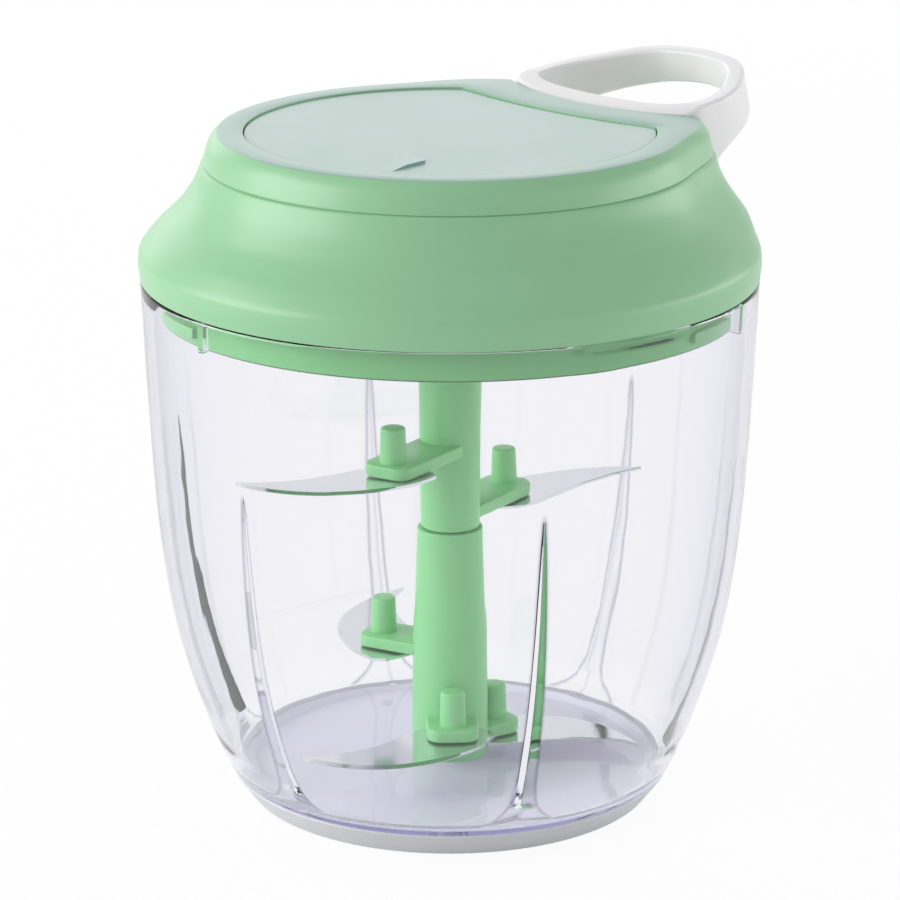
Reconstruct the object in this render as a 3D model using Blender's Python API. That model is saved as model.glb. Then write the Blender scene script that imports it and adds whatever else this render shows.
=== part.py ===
"""Pull cord food chopper: a clear bowl, a lid with a cord reel inside, and a blade tree on a centre pin.

Metres, +Z up. The origin is on the bowl's axis, at the foot's flat underside, and the pull handle points
along +X. The lid is drawn set on the bowl and not yet turned to lock.
"""

import math

import bmesh
import bpy
from mathutils import Matrix, Vector

# Clearances
FIT = 0.0003  # between pieces that touch
RUN = 0.0005  # between pieces that turn or slide past each other
OVERRUN = 0.001  # how far a cutter reaches past the face that it cuts
SINK = 0.0003  # how deep a joined rib or ledge is set into its wall
ROUND = 48  # facets of the large round pieces
FINE = 20  # facets of the small round pieces
SMOOTH_ANGLE = math.radians(32)

# Foot
FOOT_FLOOR = 0.0020
FOOT_HEIGHT = 0.0050
FOOT_WALL = 0.0016
FOOT_FLARE = 0.0037  # how much the foot widens from its underside to its top

# Bowl
BOWL_RIM_Z = 0.1090
BOWL_RIM_RADIUS = 0.0622
BOWL_WALL = 0.0022
BOWL_FLOOR = 0.0042
BOWL_RADIUS_SHARES = (  # share of the height above the foot, share of the rim's radius
    (0.0, 0.726),
    (0.026, 0.752),
    (0.065, 0.778),
    (0.103, 0.805),
    (0.142, 0.828),
    (0.219, 0.870),
    (0.296, 0.904),
    (0.412, 0.937),
    (0.527, 0.958),
    (0.682, 0.976),
    (0.836, 0.989),
    (1.0, 1.0),
)

# Ribs inside the bowl
RIB_COUNT = 6
RIB_AZIMUTH = 3.0
RIB_TIP_SHARE = 0.68  # of the height from the bowl's floor to its rim
RIB_DEPTH = 0.0026
RIB_HALF_WIDTH = 0.0018
RIB_CREST = 0.0006
RIB_FLARE = 0.0085  # how much wider each side of the rib's foot is
RIB_FLARE_HEIGHT = 0.0060
RIB_LEVEL_SHARES = (0.0, 0.035, 0.08, 0.14, 0.22, 0.40, 0.65, 0.85, 1.0)

# Bayonet: lugs on the lid's skirt, ledges and stops inside the bowl's rim
LUG_COUNT = 3
LUG_AZIMUTH = 163.3
LUG_HALF_ANGLE = 6.5
LUG_REACH = 0.0011
LUG_HEIGHT = 0.0021
LEDGE_ANGLES = (-31.0, -9.5)
ENTRY_STOP_ANGLES = (9.4, 10.6)
LOCK_STOP_ANGLES = (-31.0, -28.5)
LEDGE_HEIGHT = 0.0017
LEDGE_DROP = 0.0004  # from the bowl's rim to the ledge's top

# Centre pin
PIN_RADIUS = 0.0025
PIN_SEAT = 0.0030  # how deep the pin is set into the bowl's floor
PIN_HEIGHT = 0.0150  # above the bowl's floor

# Blade tree
SHAFT_JOINT_Z = 0.0560
LOWER_SHAFT_SHARES = ((0.0, 1.0), (0.30, 0.985), (0.55, 0.962), (0.68, 0.905), (1.0, 0.855))
LOWER_SHAFT_RADIUS = 0.0079
UPPER_SHAFT_FOOT_RADIUS = 0.0060
UPPER_SHAFT_RADIUS = 0.0066
SPIGOT_RADIUS = 0.0044
SPIGOT_HEIGHT = 0.0090
SPIGOT_SIDES = 6
ARM_HALF_WIDTH = 0.0055
ARM_THICKNESS = 0.0026
ARM_END = 0.0042  # from the post's axis to the arm's end
ARM_CORNER = 0.0034
BOTTOM_ARM_RISE = 0.0056  # from the bowl's floor to the top of the lowest arm
FRONT_ARM_STEP = 0.0044
MIDDLE_ARM_STEP = 0.0186
SECOND_ARM_RISE = 0.0040  # from the shaft's joint
HIGH_ARM_STEP = 0.0145
SHORT_REACH = 0.0110
MIDDLE_REACH = 0.0155
LONG_REACH = 0.0205
LOWER_ARM_AZIMUTH = -11.7
UPPER_ARM_AZIMUTH = 11.8
POST_RADIUS = 0.0026
POST_TOP_RADIUS = 0.0021
POST_HEIGHT = 0.0073
RIVET_RADIUS = 0.0016
RIVET_HEAD_RADIUS = 0.0024
RIVET_HEAD_HEIGHT = 0.0006

# Blades
BLADE_THICKNESS = 0.0008
BLADE_WIDTH = 0.0160
BOTTOM_TIP_GAP = 0.0056  # from the blade's tip to the bowl's wall at its height
FRONT_TIP_GAP = 0.0098
MIDDLE_TIP_GAP = 0.0080
SECOND_TIP_GAP = 0.0095
HIGH_TIP_GAP = 0.0108
SECOND_TIP_RISE = 0.0035
BLADE_SHARES = (  # share of the length from the post, back edge and front edge as shares of the width
    (-0.27, -0.10, 0.08),
    (-0.13, -0.44, 0.37),
    (0.03, -0.50, 0.55),
    (0.18, -0.40, 0.66),
    (0.36, -0.20, 0.71),
    (0.54, -0.02, 0.68),
    (0.72, 0.05, 0.54),
    (0.88, 0.06, 0.30),
    (1.0, 0.0, 0.04),
)

# Drive between the lid and the blade tree
HEAD_RADIUS = 0.0046
HEAD_REACH = 0.0018
HEAD_TOP_GAP = 0.0012
DOG_COUNT = 3
DOG_HALF_ANGLE = 12.0
DOG_PLAY_ANGLE = 2.0  # at rest, between the socket's dog and the shaft's dog that it drives
SOCKET_REACH = 0.0016
HUB_WALL = 0.0024
BUSH_WALL = 0.0015
HOUSING_WALL = 0.0018
HOUSING_LIP = 0.0008
HOUSING_RISE = 0.0010  # how far the housing stands above the lid's underside
DRIVE_DISC = 0.0018
RING_HEIGHT = 0.0037
RING_WALL = 0.0020
TOOTH_COUNT = 12
TOOTH_DEPTH = 0.0014
RING_ROOT_RADIUS = 0.0156
DRIVE_BOSS_RADIUS = 0.0038
DRIVE_BOSS_HEIGHT = 0.0029
WASHER_THICKNESS = 0.0008
WASHER_RADIUS = 0.0046
AXLE_RADIUS = 0.0015
AXLE_SEAT = 0.0015  # how deep the axle's bore starts below the boss's foot

# Spool
WEB_THICKNESS = 0.0018
DRUM_WALL = 0.0021
DRUM_RADIUS = 0.0217
DRUM_LEDGE = 0.0007
FLANGE_RADIUS = 0.0280
FLANGE_THICKNESS = 0.0012
SPOOL_TOP_GAP = 0.0006
CORD_RADIUS = 0.0010
CORD_TURNS = 3
CORD_PITCH = 0.00245
LOOP_POINTS = 24
SPOOL_COVER_DROP = 0.0015  # from the spool's top to the spring cover's top
SPOOL_COVER_THICKNESS = 0.0012
SPRING_THICKNESS = 0.0004
SPRING_TURNS = 7
SPRING_POINTS = 16

# Clutch pawls
PAWL_PIVOT_RADIUS = 0.0086
PAWL_POST_RADIUS = 0.0014
PAWL_EYE_RADIUS = 0.0031
PAWL_NOSE_RADIUS = 0.0008
PAWL_PLAY = 0.0012  # at rest, between the nose and the tooth that it pushes
PAWL_NOSE_ANGLE = 40.0
PAWL_THICKNESS = 0.0028

# Lid
SEAL_THICKNESS = 0.0007
SEAL_WIDTH = 0.0032
LID_OVERHANG = 0.0003
LID_HEIGHT = 0.0280
LID_WALL = 0.0021
LID_SHARES = (  # share of the height, of the radius, of the horns' bulge and of their tips' reach
    (0.0, 0.996, 0.0, 0.0),
    (0.04, 1.0, 0.0, 0.0),
    (0.14, 0.996, 0.0, 0.0),
    (0.205, 0.982, 0.12, 0.0),
    (0.27, 0.958, 0.35, 0.0),
    (0.345, 0.924, 0.66, 0.0),
    (0.44, 0.880, 0.86, 0.0),
    (0.49, 0.862, 0.88, 0.0),
    (0.63, 0.821, 0.93, 0.0),
    (0.77, 0.795, 1.0, 0.0),
    (0.785, 0.788, 1.0, 0.0),
    (0.918, 0.770, 1.0, 0.0),
    (0.968, 0.758, 1.0, 0.13),
    (0.993, 0.745, 1.0, 0.15),
    (1.0, 0.736, 1.0, 0.10),
)
HORN_BULGE = 0.0045
HORN_ANGLE = 32.0
HORN_FADE_ANGLE = 30.0
HORN_TIP = 0.0030
HORN_TIP_ANGLE = 26.0
HORN_TIP_SPREAD = 6.0
PLATE_RECESS = 0.0015
PLATE_THICKNESS = 0.0009
PLATE_MARGIN = 0.0048  # from the lid's top edge to the plate's recess
PLATE_CHORD = 0.0093  # from the handle's recess to the plate's recess
PLATE_CHORD_RADIUS = 0.1360
ROOF_THICKNESS = 0.0018
SKIRT_DEPTH = 0.0078
SKIRT_WALL = 0.0018
BASE_FLANGE = 0.0015
BASE_FLOOR_DROP = 0.0029
BASE_FLOOR = 0.0018
ARBOR_RADIUS = 0.0046
AXLE_TOP_GAP = 0.0026  # from the roof's underside to the axle's top
LID_SEGMENTS = 72

# Screws
SCREW_AZIMUTHS = (50.0, 130.0, 230.0, 310.0)
SCREW_RADIUS = 0.0014
SCREW_LENGTH = 0.0115
SCREW_HEAD_RADIUS = 0.0028
SCREW_HEAD_HEIGHT = 0.0015
SCREW_WALL = 0.0015
SCREW_MARGIN = 0.0042  # from the lid's inner wall under the roof to the screw boss

# Handle and its recess in the lid
RECESS_DEPTH = 0.0083  # from the lid's top edge to the recess's back wall
RECESS_RADIUS = 0.0560
RECESS_FLOOR_RISE = 0.0123  # above the lid's underside
HANDLE_GAP = 0.0004
HANDLE_LENGTH = 0.0398
HANDLE_BAR = 0.0062
HANDLE_END_WALL = 0.0040
HANDLE_SIDE_WALL = 0.0040
HANDLE_TOP_DROP = 0.0003  # from the lid's top to the handle's top beside it
HANDLE_END_RISE = 0.0062
HANDLE_LEAN = 0.0014  # how much farther in the outer wall's top edge is at the tip
HANDLE_END_HEIGHT = 0.0078
HANDLE_UNDER_SLOPE = 0.0014  # how much higher the underside's inner edge is
HANDLE_CORNER = 0.0012
HANDLE_SIDE_SHARES = (  # share of the handle's length, share of its half width at the horns
    (0.155, 1.0),
    (0.311, 0.996),
    (0.435, 0.976),
    (0.569, 0.918),
    (0.693, 0.822),
    (0.804, 0.685),
    (0.884, 0.535),
    (0.945, 0.365),
    (0.985, 0.19),
)
HANDLE_RISE_SHARES = (  # share of the length, shares of the top's and the underside's rise
    (0.0, 0.0, 0.0),
    (0.10, 0.115, 0.0),
    (0.156, 0.20, 0.0),
    (0.20, 0.29, 0.03),
    (0.29, 0.35, 0.093),
    (0.34, 0.375, 0.30),
    (0.437, 0.44, 0.485),
    (0.534, 0.52, 0.59),
    (0.675, 0.66, 0.69),
    (0.80, 0.81, 0.79),
    (0.90, 0.925, 0.88),
    (1.0, 1.0, 1.0),
)
HANDLE_HALF_WIDTH = 0.0255
HANDLE_FRONT_POINTS = 7
EYELET_WALL = 0.0006
EYELET_FLANGE = 0.0011
EYELET_FLANGE_THICKNESS = 0.0008
STOP_RADIUS = 0.0017
STOP_POCKET = 0.0020  # how much bar is left in front of the cord's stop
LEAD_BEND = 0.0040
LEAD_POINTS = 14

# Levels and radii worked out from the sizes above
BOWL_BASE_Z = FOOT_FLOOR + FIT
FOOT_TOP_Z = FOOT_HEIGHT + FIT
BOWL_FLOOR_Z = BOWL_BASE_Z + BOWL_FLOOR
LID_BOTTOM = BOWL_RIM_Z + FIT + SEAL_THICKNESS + FIT
LID_RADIUS = BOWL_RIM_RADIUS + LID_OVERHANG
LID_TOP = LID_BOTTOM + LID_HEIGHT
LID_EDGE_RADIUS = LID_RADIUS * LID_SHARES[-1][1]
ROOF_TOP = LID_TOP - PLATE_RECESS
ROOF_UNDER = ROOF_TOP - ROOF_THICKNESS
SKIRT_BOTTOM = LID_BOTTOM - SKIRT_DEPTH
BASE_FLOOR_TOP = LID_BOTTOM - BASE_FLOOR_DROP
BASE_FLOOR_UNDER = BASE_FLOOR_TOP - BASE_FLOOR
HOUSING_TOP = LID_BOTTOM + HOUSING_RISE
HOUSING_BOTTOM = SKIRT_BOTTOM + OVERRUN
BUSH_TOP = HOUSING_TOP + FIT
DISC_BOTTOM = BUSH_TOP + FIT
DISC_TOP = DISC_BOTTOM + DRIVE_DISC
BOSS_TOP = DISC_TOP + DRIVE_BOSS_HEIGHT
WASHER_BOTTOM = BOSS_TOP + FIT
WEB_BOTTOM = WASHER_BOTTOM + WASHER_THICKNESS + FIT
WEB_TOP = WEB_BOTTOM + WEB_THICKNESS
SPOOL_TOP = ROOF_UNDER - SPOOL_TOP_GAP
HEAD_OUTER = HEAD_RADIUS + HEAD_REACH
SOCKET_RADIUS = HEAD_OUTER + RUN
SOCKET_DOG_RADIUS = HEAD_RADIUS + RUN
HUB_RADIUS = SOCKET_RADIUS + HUB_WALL
BUSH_INNER = HUB_RADIUS + FIT
BUSH_OUTER = BUSH_INNER + BUSH_WALL
HOUSING_INNER = BUSH_OUTER + FIT
HOUSING_OUTER = HOUSING_INNER + HOUSING_WALL
HEAD_TOP = DISC_BOTTOM - HEAD_TOP_GAP
GROOVE_HEIGHT = CORD_TURNS * CORD_PITCH + 2 * CORD_RADIUS + 2 * FIT
GROOVE_TOP = SPOOL_TOP - FLANGE_THICKNESS
GROOVE_BOTTOM = GROOVE_TOP - GROOVE_HEIGHT
CORD_Z = (GROOVE_TOP + GROOVE_BOTTOM) / 2
WINDING_RADIUS = DRUM_RADIUS + FIT + CORD_RADIUS
RECESS_BACK = LID_EDGE_RADIUS - RECESS_DEPTH
RECESS_CENTRE = RECESS_BACK + RECESS_RADIUS
RECESS_FLOOR = LID_BOTTOM + RECESS_FLOOR_RISE
PIN_BORE = PIN_RADIUS + FIT
AXLE_BORE = AXLE_RADIUS + FIT


def interpolate(table, place, column=1):
    """Value of a table's column at a place between its first-column values."""
    if place <= table[0][0]:
        return table[0][column]
    for low, high in zip(table, table[1:]):
        if place <= high[0]:
            share = (place - low[0]) / (high[0] - low[0])
            return low[column] + share * (high[column] - low[column])
    return table[-1][column]


def bowl_radius(z):
    """Outer radius of the bowl at a height above the foot."""
    share = (z - FOOT_TOP_Z) / (BOWL_RIM_Z - FOOT_TOP_Z)
    return BOWL_RIM_RADIUS * interpolate(BOWL_RADIUS_SHARES, share)


def bowl_inner_radius(z):
    """Inner radius of the bowl's wall at a height."""
    return bowl_radius(z) - BOWL_WALL


def foot_radius(z):
    """Outer radius of the foot at a height."""
    return bowl_radius(FOOT_TOP_Z) - FOOT_FLARE * (1 - z / FOOT_HEIGHT)


def lid_radius(z, azimuth):
    """Outer radius of the lid cover at a height and an azimuth in degrees."""
    share = (z - LID_BOTTOM) / LID_HEIGHT
    away = (abs(azimuth) - HORN_ANGLE) / HORN_FADE_ANGLE
    fade = 0.5 + 0.5 * math.cos(math.pi * min(max(away, 0.0), 1.0))
    swell = HORN_BULGE * fade * interpolate(LID_SHARES, share, 2)
    beside = (abs(azimuth) - HORN_TIP_ANGLE) / HORN_TIP_SPREAD
    swell += HORN_TIP * math.exp(-beside * beside) * interpolate(LID_SHARES, share, 3)
    return LID_RADIUS * interpolate(LID_SHARES, share) + swell


def polar(radius, degrees):
    """Point at a radius and an azimuth."""
    angle = math.radians(degrees)
    return (radius * math.cos(angle), radius * math.sin(angle))


def make_object(name, mesh_builder):
    """Object of a bmesh, with its faces pointing out."""
    bmesh.ops.recalc_face_normals(mesh_builder, faces=mesh_builder.faces)
    mesh = bpy.data.meshes.new(name)
    mesh_builder.to_mesh(mesh)
    mesh_builder.free()
    piece = bpy.data.objects.new(name, mesh)
    bpy.context.scene.collection.objects.link(piece)
    return piece


def lathe(name, outline, segments=ROUND):
    """Closed (radius, height) outline turned about the Z axis."""
    build = bmesh.new()
    rings = []
    for radius, height in outline:
        if radius == 0:
            rings.append([build.verts.new((0, 0, height))])
            continue
        ring = [polar(radius, 360 * step / segments) for step in range(segments)]
        rings.append([build.verts.new((x, y, height)) for x, y in ring])
    for low, high in zip(rings, rings[1:] + rings[:1]):
        join_rings(build, low, high, True)
    return make_object(name, build)


def join_rings(build, low, high, around):
    """Faces between two rings of points; either may be a single point."""
    count = max(len(low), len(high))
    if count == 1:
        return
    for step in range(count if around else count - 1):
        after = (step + 1) % count
        corners = [low[step % len(low)], low[after % len(low)]]
        corners += [high[after % len(high)], high[step % len(high)]]
        build.faces.new(list(dict.fromkeys(corners)))


def loft(name, rings, closed=False):
    """Solid through rings of equal length, capped at both ends or joined end to end."""
    build = bmesh.new()
    rows = [[build.verts.new(point) for point in ring] for ring in rings]
    pairs = zip(rows, rows[1:] + rows[:1]) if closed else zip(rows, rows[1:])
    for low, high in pairs:
        join_rings(build, low, high, True)
    if not closed:
        build.faces.new(rows[0])
        build.faces.new(rows[-1])
    return make_object(name, build)


def prism(name, outline, low, high):
    """Outline in plan raised from one height to another."""
    return loft(name, [[(x, y, z) for x, y in outline] for z in (low, high)])


def disc(name, radius, low, high, top_radius=None, segments=FINE):
    """Round bar about the Z axis, tapered where it has a top radius."""
    top = radius if top_radius is None else top_radius
    return lathe(name, [(0, low), (radius, low), (top, high), (0, high)], segments)


def tube(name, inner, outer, low, high, segments=ROUND):
    """Round tube about the Z axis."""
    return lathe(name, [(inner, low), (outer, low), (outer, high), (inner, high)], segments)


def sector(name, inner, outer, low, high, angles, steps=8):
    """Part of a tube between two azimuths."""
    sweep = [angles[0] + (angles[1] - angles[0]) * step / steps for step in range(steps + 1)]
    outline = [polar(outer, angle) for angle in sweep]
    outline += [polar(inner, angle) for angle in reversed(sweep)]
    return prism(name, outline, low, high)


def moved(piece, x=0.0, y=0.0, z=0.0, turn=0.0):
    """Piece with its points turned about Z, then shifted."""
    matrix = Matrix.Translation((x, y, z)) @ Matrix.Rotation(math.radians(turn), 4, "Z")
    piece.data.transform(matrix)
    return piece


def laid(piece, x, y, z):
    """Piece turned about Z, with its axis laid along X and its foot at a place."""
    matrix = Matrix.Translation((x, y, z)) @ Matrix.Rotation(math.radians(90), 4, "Y")
    piece.data.transform(matrix)
    return piece


def combine(piece, tool, operation):
    """Piece joined with, or cut by, a tool that is then taken away."""
    change = piece.modifiers.new(operation, "BOOLEAN")
    change.operation = operation
    change.solver = "EXACT"
    change.object = tool
    bpy.context.view_layer.update()
    view = piece.evaluated_get(bpy.context.evaluated_depsgraph_get())
    result = bpy.data.meshes.new_from_object(view)
    piece.modifiers.clear()
    spare = piece.data
    piece.data = result
    result.name = piece.name
    bpy.data.meshes.remove(spare)
    bpy.data.objects.remove(tool)
    return piece


def cut(piece, tool):
    return combine(piece, tool, "DIFFERENCE")


def add(piece, tool):
    return combine(piece, tool, "UNION")


def colour_of(piece, name, rgb, roughness, metallic=0.0, alpha=1.0):
    """Gives a piece its material."""
    material = bpy.data.materials.get(name) or bpy.data.materials.new(name)
    material.use_nodes = True
    shader = material.node_tree.nodes["Principled BSDF"]
    shader.inputs["Base Color"].default_value = (*rgb, 1.0)
    shader.inputs["Roughness"].default_value = roughness
    shader.inputs["Metallic"].default_value = metallic
    shader.inputs["Alpha"].default_value = alpha
    piece.data.materials.clear()
    piece.data.materials.append(material)
    piece.data.shade_smooth()
    piece.data.set_sharp_from_angle(angle=SMOOTH_ANGLE)


def green(piece):
    colour_of(piece, "green_plastic", (0.26, 0.52, 0.30), 0.35)


def steel(piece):
    colour_of(piece, "steel", (0.72, 0.72, 0.74), 0.25, 1.0)


def white(piece):
    colour_of(piece, "white_plastic", (0.78, 0.77, 0.78), 0.4)


def foot_pad():
    """Soft cup under the bowl."""
    top, base = foot_radius(FOOT_HEIGHT), foot_radius(0.0)
    floor = foot_radius(FOOT_FLOOR)
    outline = [(0, 0.0), (base, 0.0), (top, FOOT_HEIGHT), (top - FOOT_WALL, FOOT_HEIGHT)]
    outline += [(floor - FOOT_WALL, FOOT_FLOOR), (0, FOOT_FLOOR)]
    piece = lathe("foot_pad", outline)
    colour_of(piece, "foot_rubber", (0.55, 0.55, 0.60), 0.6)
    return piece


def bowl_outline():
    """Turned outline of the bowl, from the middle of its underside round the rim to its floor's middle."""
    inset = FOOT_WALL + FIT
    outline = [(0, BOWL_BASE_Z), (foot_radius(BOWL_BASE_Z) - inset, BOWL_BASE_Z)]
    outline.append((foot_radius(FOOT_HEIGHT) - inset, FOOT_TOP_Z))
    heights = [FOOT_TOP_Z + share * (BOWL_RIM_Z - FOOT_TOP_Z) for share, _ in BOWL_RADIUS_SHARES]
    outline += [(bowl_radius(z), z) for z in heights]
    inside = [z for z in heights if z > BOWL_FLOOR_Z + BOWL_WALL / 2]
    outline += [(bowl_inner_radius(z), z) for z in reversed(inside)]
    outline += [(bowl_inner_radius(BOWL_FLOOR_Z), BOWL_FLOOR_Z), (0, BOWL_FLOOR_Z)]
    return outline


def rib(turn):
    """Pointed rib up the bowl's inner wall, widened where it meets the floor."""
    height = RIB_TIP_SHARE * (BOWL_RIM_Z - BOWL_FLOOR_Z)
    rings = []
    for share in RIB_LEVEL_SHARES:
        z = BOWL_FLOOR_Z - SINK + share * height
        taper = 1 - share
        flare = math.exp(-share * height / RIB_FLARE_HEIGHT)
        depth = RIB_DEPTH * (taper ** 0.7) * (1 + 0.3 * flare)
        wall = bowl_inner_radius(z) + SINK
        half = RIB_HALF_WIDTH * taper + RIB_FLARE * flare + SINK
        crest = min(RIB_CREST, half / 2) * (taper + 0.1)
        inner = wall - SINK - depth
        back = math.sqrt(wall * wall - half * half)
        deep = wall + SINK
        ring = [(back, -half), (deep, -half / 2), (deep, half / 2), (back, half)]
        ring += [(inner, crest), (inner, -crest)]
        rings.append([(x, y, z) for x, y in ring])
    return moved(loft("rib", rings), turn=turn)


def bayonet_ledges(turn):
    """Ledge that a lug turns under, and the stops at both ends of its way."""
    z = (SKIRT_BOTTOM + BOWL_RIM_Z) / 2
    outer = bowl_inner_radius(z) + SINK
    inner = skirt_radius() + RUN
    top = BOWL_RIM_Z - LEDGE_DROP
    under = ledge_underside()
    yield sector("ledge", inner, outer, under, top, [turn + a for a in LEDGE_ANGLES])
    yield sector("stop", inner, outer, SKIRT_BOTTOM, top, [turn + a for a in ENTRY_STOP_ANGLES], 1)
    yield sector("stop", inner, outer, SKIRT_BOTTOM, under + SINK, [turn + a for a in LOCK_STOP_ANGLES], 1)


def ledge_underside():
    """Height of the face that a lug turns under."""
    return BOWL_RIM_Z - LEDGE_DROP - LEDGE_HEIGHT


def skirt_radius():
    """Outer radius of the lid's skirt: the bowl's mouth less the lugs and their clearance."""
    return bowl_inner_radius(SKIRT_BOTTOM) - RUN - LUG_REACH


def bowl():
    """Clear bowl with its ribs, bayonet ledges and the seat of the centre pin."""
    piece = lathe("bowl", bowl_outline())
    for step in range(RIB_COUNT):
        add(piece, rib(RIB_AZIMUTH + 360 * step / RIB_COUNT))
    for step in range(LUG_COUNT):
        for ledge in bayonet_ledges(LUG_AZIMUTH + 360 * step / LUG_COUNT):
            add(piece, ledge)
    seat = BOWL_FLOOR_Z - PIN_SEAT - FIT
    cut(piece, disc("pin_seat", PIN_BORE, seat, BOWL_FLOOR_Z + OVERRUN))
    colour_of(piece, "clear_plastic", (0.90, 0.90, 0.94), 0.05, alpha=0.3)
    return piece


def centre_pin():
    """Steel pin that the blade tree stands and turns on."""
    low, high = BOWL_FLOOR_Z - PIN_SEAT, BOWL_FLOOR_Z + PIN_HEIGHT
    nose = PIN_RADIUS / 2
    outline = [(0, low), (PIN_RADIUS, low), (PIN_RADIUS, high - nose), (nose, high), (0, high)]
    piece = lathe("centre_pin", outline, FINE)
    steel(piece)
    return piece


def arm_table():
    """Name, holder, azimuth, reach and top of each arm, and its blade's sweep, tip gap and tip rise."""
    bottom = BOWL_FLOOR_Z + BOTTOM_ARM_RISE
    second = SHAFT_JOINT_Z + SECOND_ARM_RISE
    third = 360 / 3
    return (
        ("bottom_blade", "lower", LOWER_ARM_AZIMUTH, SHORT_REACH, bottom, -50, BOTTOM_TIP_GAP, 0.0),
        (
            "front_blade",
            "lower",
            LOWER_ARM_AZIMUTH - third,
            SHORT_REACH,
            bottom + FRONT_ARM_STEP,
            -74,
            FRONT_TIP_GAP,
            0.0,
        ),
        (
            "middle_blade",
            "lower",
            LOWER_ARM_AZIMUTH + third,
            MIDDLE_REACH,
            bottom + MIDDLE_ARM_STEP,
            -69,
            MIDDLE_TIP_GAP,
            0.0,
        ),
        (
            "second_blade",
            "upper",
            UPPER_ARM_AZIMUTH,
            LONG_REACH,
            second,
            -42,
            SECOND_TIP_GAP,
            SECOND_TIP_RISE,
        ),
        (
            "high_blade",
            "upper",
            UPPER_ARM_AZIMUTH + 180,
            LONG_REACH,
            second + HIGH_ARM_STEP,
            -49,
            HIGH_TIP_GAP,
            0.0,
        ),
    )


def shaft_radius(z):
    """Outer radius of the blade tree's shaft at a height."""
    if z < SHAFT_JOINT_Z:
        low = BOWL_FLOOR_Z + FIT
        share = (z - low) / (SHAFT_JOINT_Z - low)
        return LOWER_SHAFT_RADIUS * interpolate(LOWER_SHAFT_SHARES, share)
    share = (z - SHAFT_JOINT_Z) / (SKIRT_BOTTOM - SHAFT_JOINT_Z)
    return UPPER_SHAFT_FOOT_RADIUS + min(share, 1.0) * (UPPER_SHAFT_RADIUS - UPPER_SHAFT_FOOT_RADIUS)


def arm(azimuth, reach, top):
    """Flat tab that carries a blade, with its post above and a rivet below."""
    under = top - ARM_THICKNESS
    end = reach + ARM_END
    outline = [(0, -ARM_HALF_WIDTH), (end - ARM_CORNER, -ARM_HALF_WIDTH)]
    outline.append((end, -ARM_HALF_WIDTH + ARM_CORNER))
    outline += [(end, ARM_HALF_WIDTH - ARM_CORNER), (end - ARM_CORNER, ARM_HALF_WIDTH), (0, ARM_HALF_WIDTH)]
    piece = prism("arm", outline, under, top)
    high = top + POST_HEIGHT
    post = disc("post", POST_RADIUS, top - SINK, high, POST_TOP_RADIUS, segments=16)
    add(piece, moved(post, x=reach))
    head_top = under - BLADE_THICKNESS - 2 * FIT
    low = head_top - RIVET_HEAD_HEIGHT
    outline = [(0, low), (RIVET_HEAD_RADIUS, low), (RIVET_HEAD_RADIUS, head_top), (RIVET_RADIUS, head_top)]
    outline += [(RIVET_RADIUS, under + SINK), (0, under + SINK)]
    add(piece, moved(lathe("rivet", outline, 12), x=reach))
    return moved(piece, turn=azimuth)


def lower_blade_holder():
    """Lower half of the shaft: three arms, a bore for the centre pin and a six-sided spigot on top."""
    low = BOWL_FLOOR_Z + FIT
    span = SHAFT_JOINT_Z - low
    high = SHAFT_JOINT_Z + SPIGOT_HEIGHT
    heights = [low + share * span for share, _ in LOWER_SHAFT_SHARES[:-1]]
    outline = [(0, low)] + [(shaft_radius(z), z) for z in heights]
    top = LOWER_SHAFT_RADIUS * LOWER_SHAFT_SHARES[-1][1]
    outline += [(top, SHAFT_JOINT_Z - FIT), (0, SHAFT_JOINT_Z - FIT)]
    piece = lathe("lower_blade_holder", outline, 32)
    add(piece, disc("spigot", SPIGOT_RADIUS, SHAFT_JOINT_Z - FIT - SINK, high, segments=SPIGOT_SIDES))
    for name, holder, azimuth, reach, level, sweep, gap, rise in arm_table():
        if holder == "lower":
            add(piece, arm(azimuth, reach, level))
    cut(piece, disc("pin_bore", PIN_BORE, low - OVERRUN, BOWL_FLOOR_Z + PIN_HEIGHT + FIT))
    green(piece)
    return piece


def head_dogs(inner, outer, low, high, half_angle, turn):
    """Teeth that stand out of the shaft's head, or into the socket."""
    for step in range(DOG_COUNT):
        middle = turn + 360 * step / DOG_COUNT
        yield sector("dog", inner, outer, low, high, (middle - half_angle, middle + half_angle), 3)


def upper_blade_holder():
    """Upper half of the shaft: two arms, a six-sided socket below and the driven head on top."""
    low = SHAFT_JOINT_Z
    shoulder = HOUSING_BOTTOM - RUN
    head = HEAD_RADIUS
    outline = [(0, low), (shaft_radius(low), low), (UPPER_SHAFT_RADIUS, SKIRT_BOTTOM)]
    outline += [(UPPER_SHAFT_RADIUS, shoulder), (head, shoulder), (head, HEAD_TOP), (0, HEAD_TOP)]
    piece = lathe("upper_blade_holder", outline, 32)
    for dog in head_dogs(head - SINK, HEAD_OUTER, shoulder - SINK, HEAD_TOP, DOG_HALF_ANGLE, 0.0):
        add(piece, dog)
    for name, holder, azimuth, reach, level, sweep, gap, rise in arm_table():
        if holder == "upper":
            add(piece, arm(azimuth, reach, level))
    socket_top = SHAFT_JOINT_Z + SPIGOT_HEIGHT + FIT
    cut(piece, disc("socket", SPIGOT_RADIUS + FIT, low - OVERRUN, socket_top, segments=SPIGOT_SIDES))
    green(piece)
    return piece


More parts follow.
